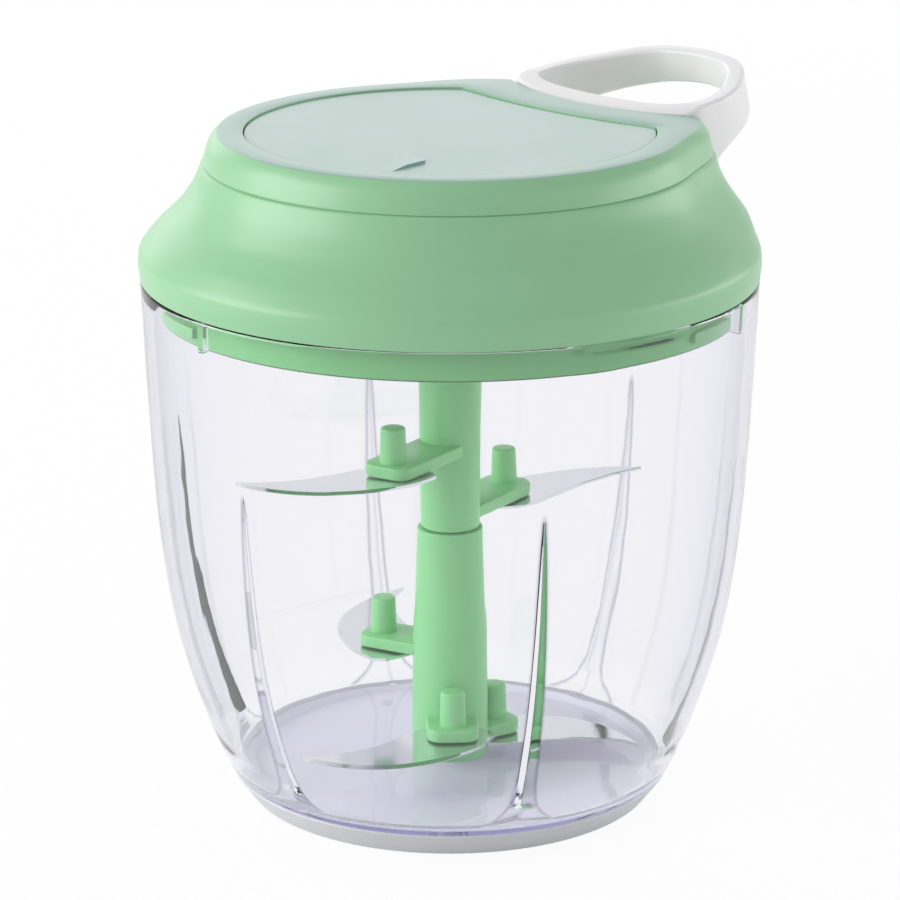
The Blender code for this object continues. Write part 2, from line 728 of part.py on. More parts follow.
def blade(name, azimuth, reach, level, sweep, tip_gap, tip_rise):
    """Swept sheet steel blade, riveted under its arm and cut clear of the shaft."""
    top = level - ARM_THICKNESS - FIT
    under = top - BLADE_THICKNESS
    angle = math.radians(sweep)
    tip = bowl_inner_radius(under) - tip_gap
    along = reach * math.cos(angle)
    length = -along + math.sqrt(along * along + tip * tip - reach * reach)
    rings = []
    for share, back, front in BLADE_SHARES:
        lift = tip_rise * max(share, 0.0) ** 2
        x, back_y, front_y = share * length, back * BLADE_WIDTH, front * BLADE_WIDTH
        corners = ((back_y, under), (front_y, under), (front_y, top), (back_y, top))
        rings.append([(x, y, z + lift) for y, z in corners])
    piece = moved(loft(name, rings), turn=sweep)
    hole = disc("hole", RIVET_RADIUS + FIT, under - OVERRUN, top + OVERRUN, segments=12)
    cut(piece, hole)
    moved(piece, x=reach)
    moved(piece, turn=azimuth)
    cut(piece, disc("shaft_gap", shaft_radius(under) + FIT, under - OVERRUN, top + OVERRUN, segments=32))
    steel(piece)
    return piece


def blades():
    return [
        blade(name, azimuth, reach, level, sweep, gap, rise)
        for name, holder, azimuth, reach, level, sweep, gap, rise in arm_table()
    ]


def lid_azimuths():
    """Azimuths of the lid cover's facets."""
    return [-180 + 360 * step / LID_SEGMENTS for step in range(LID_SEGMENTS)]


def lid_body(name, inset, low, high, step=1):
    """Solid inside the lid cover's outer surface, drawn in by an inset, between two heights."""
    levels = [LID_BOTTOM + row[0] * LID_HEIGHT for row in LID_SHARES[::step]]
    levels = [low] + [z for z in levels if low < z < high] + [high]
    rings = []
    for z in levels:
        ring = [polar(lid_radius(z, a) - inset, a) for a in lid_azimuths()]
        rings.append([(x, y, z) for x, y in ring])
    return loft(name, rings)


def recess_tool(radius, low):
    """Solid that the handle's place is cut with: round at the back, open to +X."""
    far = RECESS_CENTRE
    steps = 16
    half = 60.0
    outline = [polar(radius, 180 - half + 2 * half * step / steps) for step in range(steps + 1)]
    outline = [(RECESS_CENTRE + x, y) for x, y in outline]
    outline += [(far, outline[-1][1]), (far, outline[0][1])]
    return prism("recess", outline, low, LID_TOP + OVERRUN)


def plate_outline(margin):
    """Round plate clipped by a shallow arc beside the handle, drawn in by a margin."""
    radius = LID_EDGE_RADIUS - PLATE_MARGIN - margin
    middle = RECESS_BACK - PLATE_CHORD + PLATE_CHORD_RADIUS
    chord = PLATE_CHORD_RADIUS + margin
    cross_x = (radius**2 - chord**2 + middle**2) / (2 * middle)
    half = math.degrees(math.acos(cross_x / radius))
    steps = 40
    sweep = 360 - 2 * half
    outline = [polar(radius, half + sweep * step / steps) for step in range(steps + 1)]
    reach = math.degrees(math.asin(outline[0][1] / chord))
    arc_steps = 8
    for step in range(1, arc_steps):
        x, y = polar(chord, 180 + reach - 2 * reach * step / arc_steps)
        outline.append((middle + x, y))
    return outline


def screw_places():
    """Plan positions of the lid's screws."""
    wall = lid_radius(ROOF_UNDER, 180) - LID_WALL
    circle = wall - SCREW_MARGIN - screw_boss_radius()
    return [polar(circle, azimuth) for azimuth in SCREW_AZIMUTHS]


def screw_boss_radius():
    return SCREW_RADIUS + FIT + SCREW_WALL


def lid_cover():
    """Outer shell of the lid, with places for the handle and the plate, screw bosses and spring post."""
    piece = lid_body("lid_cover", 0.0, LID_BOTTOM, LID_TOP)
    cut(piece, recess_tool(RECESS_RADIUS, RECESS_FLOOR))
    hollow = lid_body("hollow", LID_WALL, LID_BOTTOM - OVERRUN, ROOF_UNDER, 2)
    cut(hollow, recess_tool(RECESS_RADIUS + LID_WALL, RECESS_FLOOR - LID_WALL))
    cut(piece, hollow)
    cut(piece, prism("plate_recess", plate_outline(0.0), ROOF_TOP, LID_TOP + OVERRUN))
    foot = BASE_FLOOR_TOP + FIT
    for x, y in screw_places():
        add(piece, moved(disc("boss", screw_boss_radius(), foot, ROOF_UNDER + SINK, segments=16), x, y))
        tip = BASE_FLOOR_UNDER + SCREW_LENGTH + FIT
        cut(piece, moved(disc("pilot", SCREW_RADIUS + FIT, foot - OVERRUN, tip, segments=12), x, y))
    add(piece, disc("arbor", ARBOR_RADIUS, WEB_TOP + SPOOL_TOP_GAP, ROOF_UNDER + SINK))
    axle_top = ROOF_UNDER - AXLE_TOP_GAP + FIT
    cut(piece, disc("axle_bore", AXLE_BORE, WEB_TOP - OVERRUN, axle_top, segments=16))
    hole = disc("eyelet_hole", eyelet_radius() + FIT, 0.0, LID_WALL + 4 * OVERRUN, segments=16)
    cut(piece, laid(hole, RECESS_BACK - LID_WALL - 2 * OVERRUN, 0.0, CORD_Z))
    green(piece)
    return piece


def top_plate():
    """Glossy plate let into the lid's top."""
    low = ROOF_TOP + FIT
    piece = prism("top_plate", plate_outline(FIT), low, low + PLATE_THICKNESS)
    colour_of(piece, "plate_plastic", (0.55, 0.68, 0.60), 0.12)
    return piece


def lid_base():
    """Inner half of the lid: skirt with bayonet lugs, floor, and the housing of the drive's bush."""
    skirt, inner = skirt_radius(), skirt_radius() - SKIRT_WALL
    flange = lid_radius(LID_BOTTOM, 180) - LID_WALL - FIT
    flange_top = LID_BOTTOM + BASE_FLANGE
    lip = HUB_RADIUS + RUN
    outline = [(lip, HOUSING_BOTTOM), (HOUSING_OUTER, HOUSING_BOTTOM), (HOUSING_OUTER, BASE_FLOOR_UNDER)]
    outline += [(inner, BASE_FLOOR_UNDER), (inner, SKIRT_BOTTOM), (skirt, SKIRT_BOTTOM)]
    outline += [(skirt, LID_BOTTOM), (flange, LID_BOTTOM), (flange, flange_top)]
    outline += [(inner, flange_top), (inner, BASE_FLOOR_TOP)]
    outline += [(HOUSING_OUTER, BASE_FLOOR_TOP), (HOUSING_OUTER, HOUSING_TOP), (HOUSING_INNER, HOUSING_TOP)]
    lip_top = HOUSING_BOTTOM + HOUSING_LIP
    outline += [(HOUSING_INNER, lip_top), (lip, lip_top)]
    piece = lathe("lid_base", outline)
    lug_high = ledge_underside() - RUN
    for step in range(LUG_COUNT):
        middle = LUG_AZIMUTH + 360 * step / LUG_COUNT
        angles = (middle - LUG_HALF_ANGLE, middle + LUG_HALF_ANGLE)
        inside = skirt - SINK - SINK
        add(piece, sector("lug", inside, skirt + LUG_REACH, lug_high - LUG_HEIGHT, lug_high, angles, 4))
    low, high = BASE_FLOOR_UNDER - OVERRUN, BASE_FLOOR_TOP + OVERRUN
    for x, y in screw_places():
        cut(piece, moved(disc("hole", SCREW_RADIUS + FIT, low, high, segments=12), x, y))
    green(piece)
    return piece


def rim_seal():
    """Flat soft ring between the bowl's rim and the lid."""
    low = BOWL_RIM_Z + FIT
    inner = skirt_radius() + FIT
    piece = tube("rim_seal", inner, inner + SEAL_WIDTH, low, low + SEAL_THICKNESS)
    colour_of(piece, "seal_rubber", (0.20, 0.24, 0.22), 0.5)
    return piece


def lid_screws():
    """Four screws that clamp the lid's base to its cover from below."""
    pieces = []
    head_top = BASE_FLOOR_UNDER - FIT
    head_low = head_top - SCREW_HEAD_HEIGHT
    tip = BASE_FLOOR_UNDER + SCREW_LENGTH
    slot = SCREW_RADIUS / 2
    for number, (x, y) in enumerate(screw_places(), 1):
        outline = [(0, head_low), (SCREW_HEAD_RADIUS, head_low), (SCREW_HEAD_RADIUS, head_top)]
        outline += [(SCREW_RADIUS, head_top), (SCREW_RADIUS, tip - SCREW_RADIUS), (0, tip)]
        piece = lathe(f"lid_screw_{number}", outline, 12)
        for turn in (0, 90):
            long, wide = slot * 3, slot / 2
            bar = [(-long, -wide), (long, -wide), (long, wide), (-long, wide)]
            cross = prism("cross", bar, head_low - OVERRUN, head_low + SCREW_HEAD_HEIGHT / 2)
            cut(piece, moved(cross, turn=turn))
        moved(piece, x, y)
        steel(piece)
        pieces.append(piece)
    return pieces


def drive_socket():
    """Ratchet cup above, hub through the bush, and a socket below for the shaft's head."""
    ring_top = DISC_TOP + RING_HEIGHT
    outer = RING_ROOT_RADIUS + RING_WALL
    outline = [(0, HOUSING_BOTTOM), (HUB_RADIUS, HOUSING_BOTTOM), (HUB_RADIUS, DISC_BOTTOM)]
    outline += [(outer, DISC_BOTTOM), (outer, ring_top), (0, ring_top)]
    piece = lathe("drive_socket", outline)
    tooth = 360 / TOOTH_COUNT
    first = PAWL_NOSE_ANGLE + math.degrees((PAWL_NOSE_RADIUS + PAWL_PLAY) / nose_circle())
    teeth = []
    for step in range(TOOTH_COUNT):
        for share in (0.0, 0.33, 0.67, 0.999):
            radius = RING_ROOT_RADIUS - TOOTH_DEPTH * (1 - share)
            teeth.append(polar(radius, first + (step + share) * tooth))
    cut(piece, prism("teeth", teeth, DISC_TOP, ring_top + OVERRUN))
    add(piece, disc("boss", DRIVE_BOSS_RADIUS, DISC_TOP - SINK, BOSS_TOP))
    socket_top = HEAD_TOP + RUN
    cut(piece, disc("socket", SOCKET_RADIUS, HOUSING_BOTTOM - OVERRUN, socket_top, segments=36))
    turn = -2 * DOG_HALF_ANGLE - DOG_PLAY_ANGLE
    low, high = HOUSING_BOTTOM + RUN, socket_top + SINK
    for dog in head_dogs(SOCKET_DOG_RADIUS, SOCKET_RADIUS + SINK, low, high, DOG_HALF_ANGLE, turn):
        add(piece, dog)
    cut(piece, disc("axle_bore", AXLE_BORE, DISC_TOP - AXLE_SEAT, BOSS_TOP + OVERRUN, segments=16))
    white(piece)
    return piece


def drive_bush():
    """Plain bearing ring round the drive's hub."""
    low = HOUSING_BOTTOM + HOUSING_LIP + FIT
    piece = tube("drive_bush", BUSH_INNER, BUSH_OUTER, low, BUSH_TOP, 36)
    colour_of(piece, "bush_plastic", (0.80, 0.78, 0.70), 0.4)
    return piece


def thrust_washer():
    """Washer between the drive's boss and the spool."""
    high = WASHER_BOTTOM + WASHER_THICKNESS
    piece = tube("thrust_washer", AXLE_BORE, WASHER_RADIUS, WASHER_BOTTOM, high, 24)
    colour_of(piece, "bush_plastic", (0.80, 0.78, 0.70), 0.4)
    return piece


def spool_axle():
    """Steel axle held in the lid's post; the spool and the drive turn on it."""
    low = DISC_TOP - AXLE_SEAT + FIT
    piece = disc("spool_axle", AXLE_RADIUS, low, ROOF_UNDER - AXLE_TOP_GAP, segments=16)
    steel(piece)
    return piece


def spool():
    """Cord drum with its flanges, spring chamber and the posts that the clutch pawls rock on."""
    chamber = DRUM_RADIUS - DRUM_WALL
    wide = chamber + DRUM_LEDGE
    bore = AXLE_BORE + FIT
    ledge = SPOOL_TOP - SPOOL_COVER_DROP - SPOOL_COVER_THICKNESS - FIT
    lower_flange = GROOVE_BOTTOM - FLANGE_THICKNESS
    outline = [(bore, WEB_BOTTOM), (DRUM_RADIUS, WEB_BOTTOM), (DRUM_RADIUS, lower_flange)]
    outline += [(FLANGE_RADIUS, lower_flange), (FLANGE_RADIUS, GROOVE_BOTTOM), (DRUM_RADIUS, GROOVE_BOTTOM)]
    outline += [(DRUM_RADIUS, GROOVE_TOP), (FLANGE_RADIUS, GROOVE_TOP), (FLANGE_RADIUS, SPOOL_TOP)]
    outline += [(wide, SPOOL_TOP), (wide, ledge), (chamber, ledge), (chamber, WEB_TOP), (bore, WEB_TOP)]
    piece = lathe("spool", outline)
    low = pawl_bottom()
    for turn in (0, 180):
        x, y = polar(PAWL_PIVOT_RADIUS, turn)
        add(piece, moved(disc("post", PAWL_POST_RADIUS, low, WEB_BOTTOM + SINK, segments=12), x, y))
    white(piece)
    return piece


def spool_cover():
    """Disc that keeps the spring in the drum."""
    high = SPOOL_TOP - SPOOL_COVER_DROP
    outer = DRUM_RADIUS - DRUM_WALL + DRUM_LEDGE - FIT
    piece = tube("spool_cover", ARBOR_RADIUS + RUN, outer, high - SPOOL_COVER_THICKNESS, high)
    white(piece)
    return piece


def spiral_spring():
    """Flat spring wound from the lid's fixed post out to the drum's wall."""
    low = WEB_TOP + RUN
    high = SPOOL_TOP - SPOOL_COVER_DROP - SPOOL_COVER_THICKNESS - RUN
    start = (ARBOR_RADIUS + FIT) / math.cos(math.pi / SPRING_POINTS)
    end = DRUM_RADIUS - DRUM_WALL - FIT - SPRING_THICKNESS
    count = SPRING_TURNS * SPRING_POINTS
    rings = []
    for step in range(count + 1):
        share = step / count
        angle = 360 * SPRING_TURNS * share
        radius = start + (end - start) * share
        inner, outer = polar(radius, angle), polar(radius + SPRING_THICKNESS, angle)
        rings.append([(*inner, low), (*outer, low), (*outer, high), (*inner, high)])
    piece = loft("spiral_spring", rings)
    steel(piece)
    return piece


def pawl_bottom():
    """Height of the pawls' lower faces."""
    return DISC_TOP + RUN


def nose_circle():
    """Radius at which the centre of a pawl's nose lies."""
    return RING_ROOT_RADIUS - TOOTH_DEPTH


def clutch_pawl(name, turn):
    """Lever that rocks on its post, with its nose against a tooth of the ratchet cup."""
    pivot = Vector((PAWL_PIVOT_RADIUS, 0.0))
    nose = Vector(polar(nose_circle(), PAWL_NOSE_ANGLE)) - pivot
    along = math.atan2(nose.y, nose.x)
    spread = math.acos((PAWL_EYE_RADIUS - PAWL_NOSE_RADIUS) / nose.length)
    outline = []
    for step in range(9):
        angle = along + spread + (2 * math.pi - 2 * spread) * step / 8
        outline.append((PAWL_EYE_RADIUS * math.cos(angle), PAWL_EYE_RADIUS * math.sin(angle)))
    for step in range(5):
        angle = along - spread + 2 * spread * step / 4
        x, y = PAWL_NOSE_RADIUS * math.cos(angle), PAWL_NOSE_RADIUS * math.sin(angle)
        outline.append((nose.x + x, nose.y + y))
    low = pawl_bottom()
    high = min(low + PAWL_THICKNESS, WEB_BOTTOM - FIT)
    piece = prism(name, outline, low, high)
    cut(piece, disc("eye", PAWL_POST_RADIUS + FIT, low - OVERRUN, high + OVERRUN, segments=12))
    moved(piece, turn=turn)
    x, y = polar(PAWL_PIVOT_RADIUS, turn)
    piece.location = (x, y, 0.0)
    white(piece)
    return piece


def cord_curve(name, points):
    """Round cord along a list of points."""
    curve = bpy.data.curves.new(name, "CURVE")
    curve.dimensions = "3D"
    curve.bevel_depth = CORD_RADIUS
    curve.bevel_resolution = 1
    curve.use_fill_caps = True
    line = curve.splines.new("POLY")
    line.points.add(len(points) - 1)
    for place, point in zip(line.points, points):
        place.co = (*point, 1.0)
    piece = bpy.data.objects.new(name, curve)
    bpy.context.scene.collection.objects.link(piece)
    material = bpy.data.materials.get("cord") or bpy.data.materials.new("cord")
    material.use_nodes = True
    shader = material.node_tree.nodes["Principled BSDF"]
    shader.inputs["Base Color"].default_value = (0.75, 0.75, 0.74, 1.0)
    shader.inputs["Roughness"].default_value = 0.8
    curve.materials.append(material)
    return piece


def tangent_angle():
    """Azimuth, in degrees below +X, at which the cord leaves the drum for the eyelet."""
    mouth = RECESS_BACK - LID_WALL - LEAD_BEND
    return math.degrees(math.acos(WINDING_RADIUS / mouth))


def cord_outlet():
    """Height at which the cord leaves the drum."""
    return GROOVE_TOP - FIT - CORD_RADIUS


def cord_winding():
    """Cord wound on the drum in a single layer, from where it leaves down to the lower flange."""
    start = -tangent_angle()
    points = []
    for step in range(CORD_TURNS * LOOP_POINTS + 1):
        turn = step / LOOP_POINTS
        x, y = polar(WINDING_RADIUS / math.cos(math.pi / LOOP_POINTS), start - 360 * turn)
        points.append((x, y, cord_outlet() - CORD_PITCH * turn))
    gap = CORD_PITCH - 2 * CORD_RADIUS
    print(f"cord winding's least gap to itself: {gap:.5f} m")
    return cord_curve("cord_winding", points)


def cord_lead():
    """Cord from the drum through the eyelet to its stop in the handle."""
    start_angle = math.radians(-tangent_angle())
    bend = Vector((RECESS_BACK - LID_WALL - LEAD_BEND, 0.0))
    start = Vector((math.cos(start_angle), math.sin(start_angle))) * WINDING_RADIUS
    high = cord_outlet()
    away = (bend - start).normalized()
    start += away * (FIT + CORD_RADIUS / 2)
    end = Vector((stop_centre() - STOP_RADIUS - FIT, 0.0))
    before = bend - away * LEAD_BEND
    after = bend + Vector((LEAD_BEND, 0.0))
    points = [(*start, high), (*(start.lerp(before, 0.6)), high)]
    for step in range(LEAD_POINTS + 1):
        share = step / LEAD_POINTS
        place = before.lerp(bend, share).lerp(bend.lerp(after, share), share)
        points.append((*place, CORD_Z))
    points.append((*(after.lerp(end, 0.5)), CORD_Z))
    points.append((*end, CORD_Z))
    return cord_curve("cord_lead", points)


def eyelet_radius():
    """Outer radius of the eyelet's barrel."""
    return CORD_RADIUS + FIT + EYELET_WALL


def cord_eyelet():
    """Smooth steel eyelet in the lid's wall, which the cord runs through."""
    bore, barrel = CORD_RADIUS + FIT, eyelet_radius()
    wide = barrel + EYELET_FLANGE
    length = LID_WALL - FIT
    low = -EYELET_FLANGE_THICKNESS
    outline = [(bore, low), (wide, low), (wide, 0.0), (barrel, 0.0), (barrel, length), (bore, length)]
    piece = lathe("cord_eyelet", outline, 16)
    laid(piece, RECESS_BACK - LID_WALL - FIT, 0.0, CORD_Z)
    steel(piece)
    return piece


def stop_centre():
    """Place along X of the cord's stop in the handle."""
    return RECESS_BACK + HANDLE_GAP + STOP_POCKET + FIT + STOP_RADIUS


def cord_stop():
    """Bead crimped on the end of the cord, in the handle's bar."""
    steps = 8
    outline = [(0, -STOP_RADIUS)]
    for step in range(1, steps):
        angle = math.pi * step / steps
        outline.append((STOP_RADIUS * math.sin(angle), -STOP_RADIUS * math.cos(angle)))
    outline.append((0, STOP_RADIUS))
    piece = laid(lathe("cord_stop", outline, 12), stop_centre(), 0.0, CORD_Z)
    steel(piece)
    return piece


def handle_outlines():
    """Outer and inner outlines of the handle in plan, one point each at matching places round the loop."""
    front = RECESS_RADIUS - HANDLE_GAP
    tip = RECESS_BACK + HANDLE_GAP + HANDLE_LENGTH
    start = RECESS_CENTRE - front
    half_angle = math.degrees(math.asin(HANDLE_HALF_WIDTH / front))
    outer, inner = [], []
    for step in range(HANDLE_FRONT_POINTS):
        share = -1 + 2 * step / (HANDLE_FRONT_POINTS - 1)
        x, y = polar(front, 180 - half_angle * share)
        outer.append((RECESS_CENTRE + x, y))
        narrow = 1 - HANDLE_SIDE_WALL / HANDLE_HALF_WIDTH
        inner_x = RECESS_CENTRE + x * (1 - HANDLE_BAR / front)
        bar_x = start + HANDLE_BAR + (inner_x - start - HANDLE_BAR) * 0.5
        inner.append((bar_x, y * narrow))
    sides = [(start + along * HANDLE_LENGTH, half * HANDLE_HALF_WIDTH) for along, half in HANDLE_SIDE_SHARES]
    across = sides + [(tip, 0.0)] + [(x, -y) for x, y in reversed(sides)]
    for x, y in across:
        share = (x - start) / HANDLE_LENGTH
        depth = HANDLE_END_WALL / HANDLE_LENGTH * share
        inner_x = start + HANDLE_LENGTH * (share - depth)
        narrow = 1 - HANDLE_SIDE_WALL / HANDLE_HALF_WIDTH
        least = start + HANDLE_BAR + HANDLE_CORNER
        outer.append((x, y))
        inner.append((max(inner_x, least), y * narrow))
    return outer, inner


def handle_levels(x):
    """Heights of the handle's top and underside at a place along X."""
    start = RECESS_BACK + HANDLE_GAP
    share = min(max((x - start) / HANDLE_LENGTH, 0.0), 1.0)
    top = LID_TOP - HANDLE_TOP_DROP + HANDLE_END_RISE * interpolate(HANDLE_RISE_SHARES, share)
    low = RECESS_FLOOR + HANDLE_GAP
    end_low = LID_TOP - HANDLE_TOP_DROP + HANDLE_END_RISE - HANDLE_END_HEIGHT
    return top, low + (end_low - low) * interpolate(HANDLE_RISE_SHARES, share, 2)


def pull_handle():
    """Loop handle nested in the lid's recess, with the cord's hole and the stop's pocket in its bar."""
    outer, inner = handle_outlines()
    rings = []
    for (ox, oy), (ix, iy) in zip(outer, inner):
        outside, inside = Vector((ox, oy)), Vector((ix, iy))
        across = (inside - outside).normalized()
        inward = across * HANDLE_CORNER
        top, low = handle_levels(ox)
        lean = across * (HANDLE_LEAN * (top - LID_TOP + HANDLE_TOP_DROP) / HANDLE_END_RISE)
        inner_top, inner_low = handle_levels(ix)
        inner_low += HANDLE_UNDER_SLOPE
        c = HANDLE_CORNER
        near, far = outside + inward, inside - inward
        rings.append(
            [
                (*outside, low + c),
                (*(outside + lean), top - c),
                (*(near + lean), top),
                (*far, inner_top),
                (*inside, inner_top - c),
                (*inside, inner_low + c),
                (*far, inner_low),
                (*near, low),
            ]
        )
    piece = loft("pull_handle", rings, closed=True)
    back = RECESS_BACK + HANDLE_GAP
    hole = disc("cord_hole", CORD_RADIUS + FIT, 0.0, HANDLE_BAR + OVERRUN, segments=12)
    cut(piece, laid(hole, back - OVERRUN, 0.0, CORD_Z))
    pocket = disc("stop_pocket", STOP_RADIUS + FIT, 0.0, HANDLE_BAR + OVERRUN, segments=12)
    cut(piece, laid(pocket, back + STOP_POCKET, 0.0, CORD_Z))
    colour_of(piece, "handle_plastic", (0.68, 0.67, 0.70), 0.4)
    return piece


def group(name, pieces, location=(0.0, 0.0, 0.0)):
    """Empty on a joint's axis that carries the pieces that move together."""
    axis = bpy.data.objects.new(name, None)
    bpy.context.scene.collection.objects.link(axis)
    axis.location = location
    bpy.context.view_layer.update()
    for piece in pieces:
        piece.parent = axis
        piece.matrix_parent_inverse = axis.matrix_world.inverted()
    return axis


def main():
    for old in list(bpy.context.scene.objects):
        bpy.data.objects.remove(old)
    group("bowl_body", [bowl(), foot_pad(), centre_pin()])
    group("blade_axis", [lower_blade_holder(), upper_blade_holder(), *blades()])
    group("seal_body", [rim_seal()])
    fixed_in_lid = [top_plate(), lid_base(), drive_bush(), spool_axle(), cord_eyelet(), *lid_screws()]
    group("lid_body", [lid_cover(), *fixed_in_lid])
    group("drive_axis", [drive_socket(), thrust_washer()])
    group("spool_axis", [spool(), spool_cover(), spiral_spring(), cord_winding()])
    clutch_pawl("clutch_pawl_a", 0)
    clutch_pawl("clutch_pawl_b", 180)
    group("handle_body", [pull_handle(), cord_lead(), cord_stop()])


main()
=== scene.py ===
"""Pull cord food chopper, dressed for a plain studio picture.

Metres, +Z up, the pull handle along +X. Each section below is one piece, or a few that are made alike,
in the order that the chopper is put together, from the foot up to the handle.
"""

import math

import bmesh
import bpy
import numpy as np
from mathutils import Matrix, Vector


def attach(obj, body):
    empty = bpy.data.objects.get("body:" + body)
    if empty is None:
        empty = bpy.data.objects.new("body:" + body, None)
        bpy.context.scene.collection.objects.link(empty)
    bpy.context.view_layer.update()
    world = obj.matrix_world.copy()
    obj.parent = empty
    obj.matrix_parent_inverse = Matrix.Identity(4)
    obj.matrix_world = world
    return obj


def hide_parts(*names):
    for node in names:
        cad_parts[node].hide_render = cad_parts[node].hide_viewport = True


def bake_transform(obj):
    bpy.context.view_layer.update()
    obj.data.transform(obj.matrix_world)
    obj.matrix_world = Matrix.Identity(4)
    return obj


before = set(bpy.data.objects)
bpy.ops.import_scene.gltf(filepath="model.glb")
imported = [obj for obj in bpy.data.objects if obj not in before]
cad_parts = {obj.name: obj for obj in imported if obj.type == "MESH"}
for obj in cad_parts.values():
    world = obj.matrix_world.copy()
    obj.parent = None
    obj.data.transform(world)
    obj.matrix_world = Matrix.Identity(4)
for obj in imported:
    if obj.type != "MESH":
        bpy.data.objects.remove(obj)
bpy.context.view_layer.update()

# Camera
# A long lens a little above the lid, level with the middle of the chopper, with the handle to the right
# and away from it.
CAMERA_AZIMUTH = math.radians(-44.7)
CAMERA_HEIGHT = math.radians(16.8)
CAMERA_DISTANCE = 0.815
AIM = Vector((0.0, 0.0, 0.0716))
camera_data = bpy.data.cameras.new("photo_camera")
camera_data.lens = 160
camera_data.sensor_width = 36
camera_data.clip_start = 0.01
camera = bpy.data.objects.new("photo_camera", camera_data)
bpy.context.scene.collection.objects.link(camera)
away = Vector((math.sin(CAMERA_AZIMUTH), -math.cos(CAMERA_AZIMUTH), math.tan(CAMERA_HEIGHT))).normalized()
camera.location = AIM + away * CAMERA_DISTANCE
camera.rotation_euler = (-away).to_track_quat("-Z", "Y").to_euler()
bpy.context.scene.camera = camera
bpy.context.scene.view_settings.view_transform = "Standard"


# Floor
# Pale paper that runs out of the picture just under the foot. The eye, the mirrored view in a glossy
# piece and the view through the clear bowl all see it nearly white, with the chopper's soft shadow.
FLOOR_RADIUS = 6.0
FLOOR_LEVEL = -0.0003
GLOW_SHARE = 0.93


class Value:
    """Output of a shader node. Adding to it or multiplying it makes a Math node."""

    def __init__(self, finish, socket):
        self.finish, self.socket = finish, socket

    def math(self, operation, one, two):
        return self.finish.node("ShaderNodeMath", {"operation": operation}, {0: one, 1: two})

    def __add__(self, other):
        return self.math("ADD", self, other)

    def __radd__(self, other):
        return self.math("ADD", other, self)

    def __mul__(self, other):
        return self.math("MULTIPLY", self, other)

    def __rmul__(self, other):
        return self.math("MULTIPLY", other, self)


class Finish:
    """Material of one finish: its Principled shader, and the nodes that feed it."""

    def __init__(self, name, colour, roughness, **sockets):
        self.material = bpy.data.materials.new(name)
        self.material.use_nodes = True
        self.tree = self.material.node_tree
        self.shader = self.tree.nodes["Principled BSDF"]
        self.output = self.tree.nodes["Material Output"]
        self.set({"Base Color": (*colour, 1.0), "Roughness": roughness})
        self.set({key.replace("_", " "): value for key, value in sockets.items()})

    def set(self, sockets, node=None):
        """Gives sockets their values or links."""
        for key, value in sockets.items():
            socket = (node or self.shader).inputs[key]
            if isinstance(value, Value):
                self.tree.links.new(value.socket, socket)
            else:
                socket.default_value = value

    def node(self, kind, settings, sockets, output=0):
        """Adds a node: its settings first, then its sockets' values or links."""
        node = self.tree.nodes.new(kind)
        for key, value in settings.items():
            setattr(node, key, value)
        self.set(sockets, node)
        return Value(self, node.outputs[output])

    def noise(self, scale, detail=3.0, stretch=(1.0, 1.0, 1.0)):
        """Soft noise from 0 to 1 on the piece's own coordinates, with so many lumps to the metre."""
        place = self.node("ShaderNodeTexCoord", {}, {}, "Object")
        place = self.node("ShaderNodeMapping", {}, {"Vector": place, "Scale": stretch})
        return self.node("ShaderNodeTexNoise", {}, {"Vector": place, "Scale": scale, "Detail": detail})

    def tint(self, one, other, share):
        """Colour between two, by a share that changes over the surface."""
        one, other = (each if isinstance(each, Value) else (*each, 1.0) for each in (one, other))
        return self.node("ShaderNodeMix", {"data_type": "RGBA"}, {0: share, 6: one, 7: other}, 2)

    def bump(self, height, distance):
        """Small relief from a height value."""
        return self.node("ShaderNodeBump", {}, {"Height": height, "Distance": distance}, "Normal")


floor_build = bmesh.new()
bmesh.ops.create_circle(floor_build, cap_ends=True, segments=64, radius=FLOOR_RADIUS)
bmesh.ops.translate(floor_build, vec=(0.0, 0.0, FLOOR_LEVEL), verts=floor_build.verts)
floor_mesh = bpy.data.meshes.new("floor")
floor_build.to_mesh(floor_mesh)
floor_build.free()
floor = bpy.data.objects.new("floor", floor_mesh)
bpy.context.scene.collection.objects.link(floor)
paper = Finish("paper_floor", (0.9, 0.9, 0.9), 0.9)
ray = {
    kind: paper.node("ShaderNodeLightPath", {}, {}, f"Is {kind} Ray")
    for kind in ("Camera", "Glossy", "Transmission")
}
seen = ray["Camera"].math("MAXIMUM", ray["Camera"], ray["Glossy"])
seen = seen.math("MAXIMUM", seen, ray["Transmission"])
glow = paper.node("ShaderNodeEmission", {}, {"Color": (1.0, 1.0, 1.0, 1.0), "Strength": 1.0})
lit = Value(paper, paper.shader.outputs[0])
surface = paper.node("ShaderNodeMixShader", {}, {0: seen * GLOW_SHARE, 1: lit, 2: glow})
paper.set({"Surface": surface}, paper.output)
floor_mesh.materials.append(paper.material)


# Light
# A dim white room with five large soft lamps round the chopper. The lamp on the left is much the
# strongest, as in the photograph, and the others fill the shade.
ROOM_STRENGTH = 0.52
MIRRORED_ROOM = 0.3
LAMPS = (
    # name, degrees round from the camera, degrees up, distance, width, depth, watts
    ("left_softbox", -80.0, 20.0, 1.2, 1.1, 0.85, 12.2),
    ("right_softbox", 102.0, 9.0, 1.2, 1.3, 0.45, 4.6),
    ("front_softbox", 48.0, 24.0, 1.3, 1.0, 0.8, 1.3),
    ("back_softbox", 188.0, 18.0, 1.3, 1.7, 0.7, 4.2),
    ("top_softbox", 150.0, 72.0, 1.2, 0.9, 0.9, 0.8),
)
room = bpy.data.worlds.new("studio")
bpy.context.scene.world = room
room.use_nodes = True
room_nodes, room_links = room.node_tree.nodes, room.node_tree.links
plain = room_nodes["Background"]
plain.inputs["Color"].default_value = (0.97, 0.98, 1.0, 1.0)
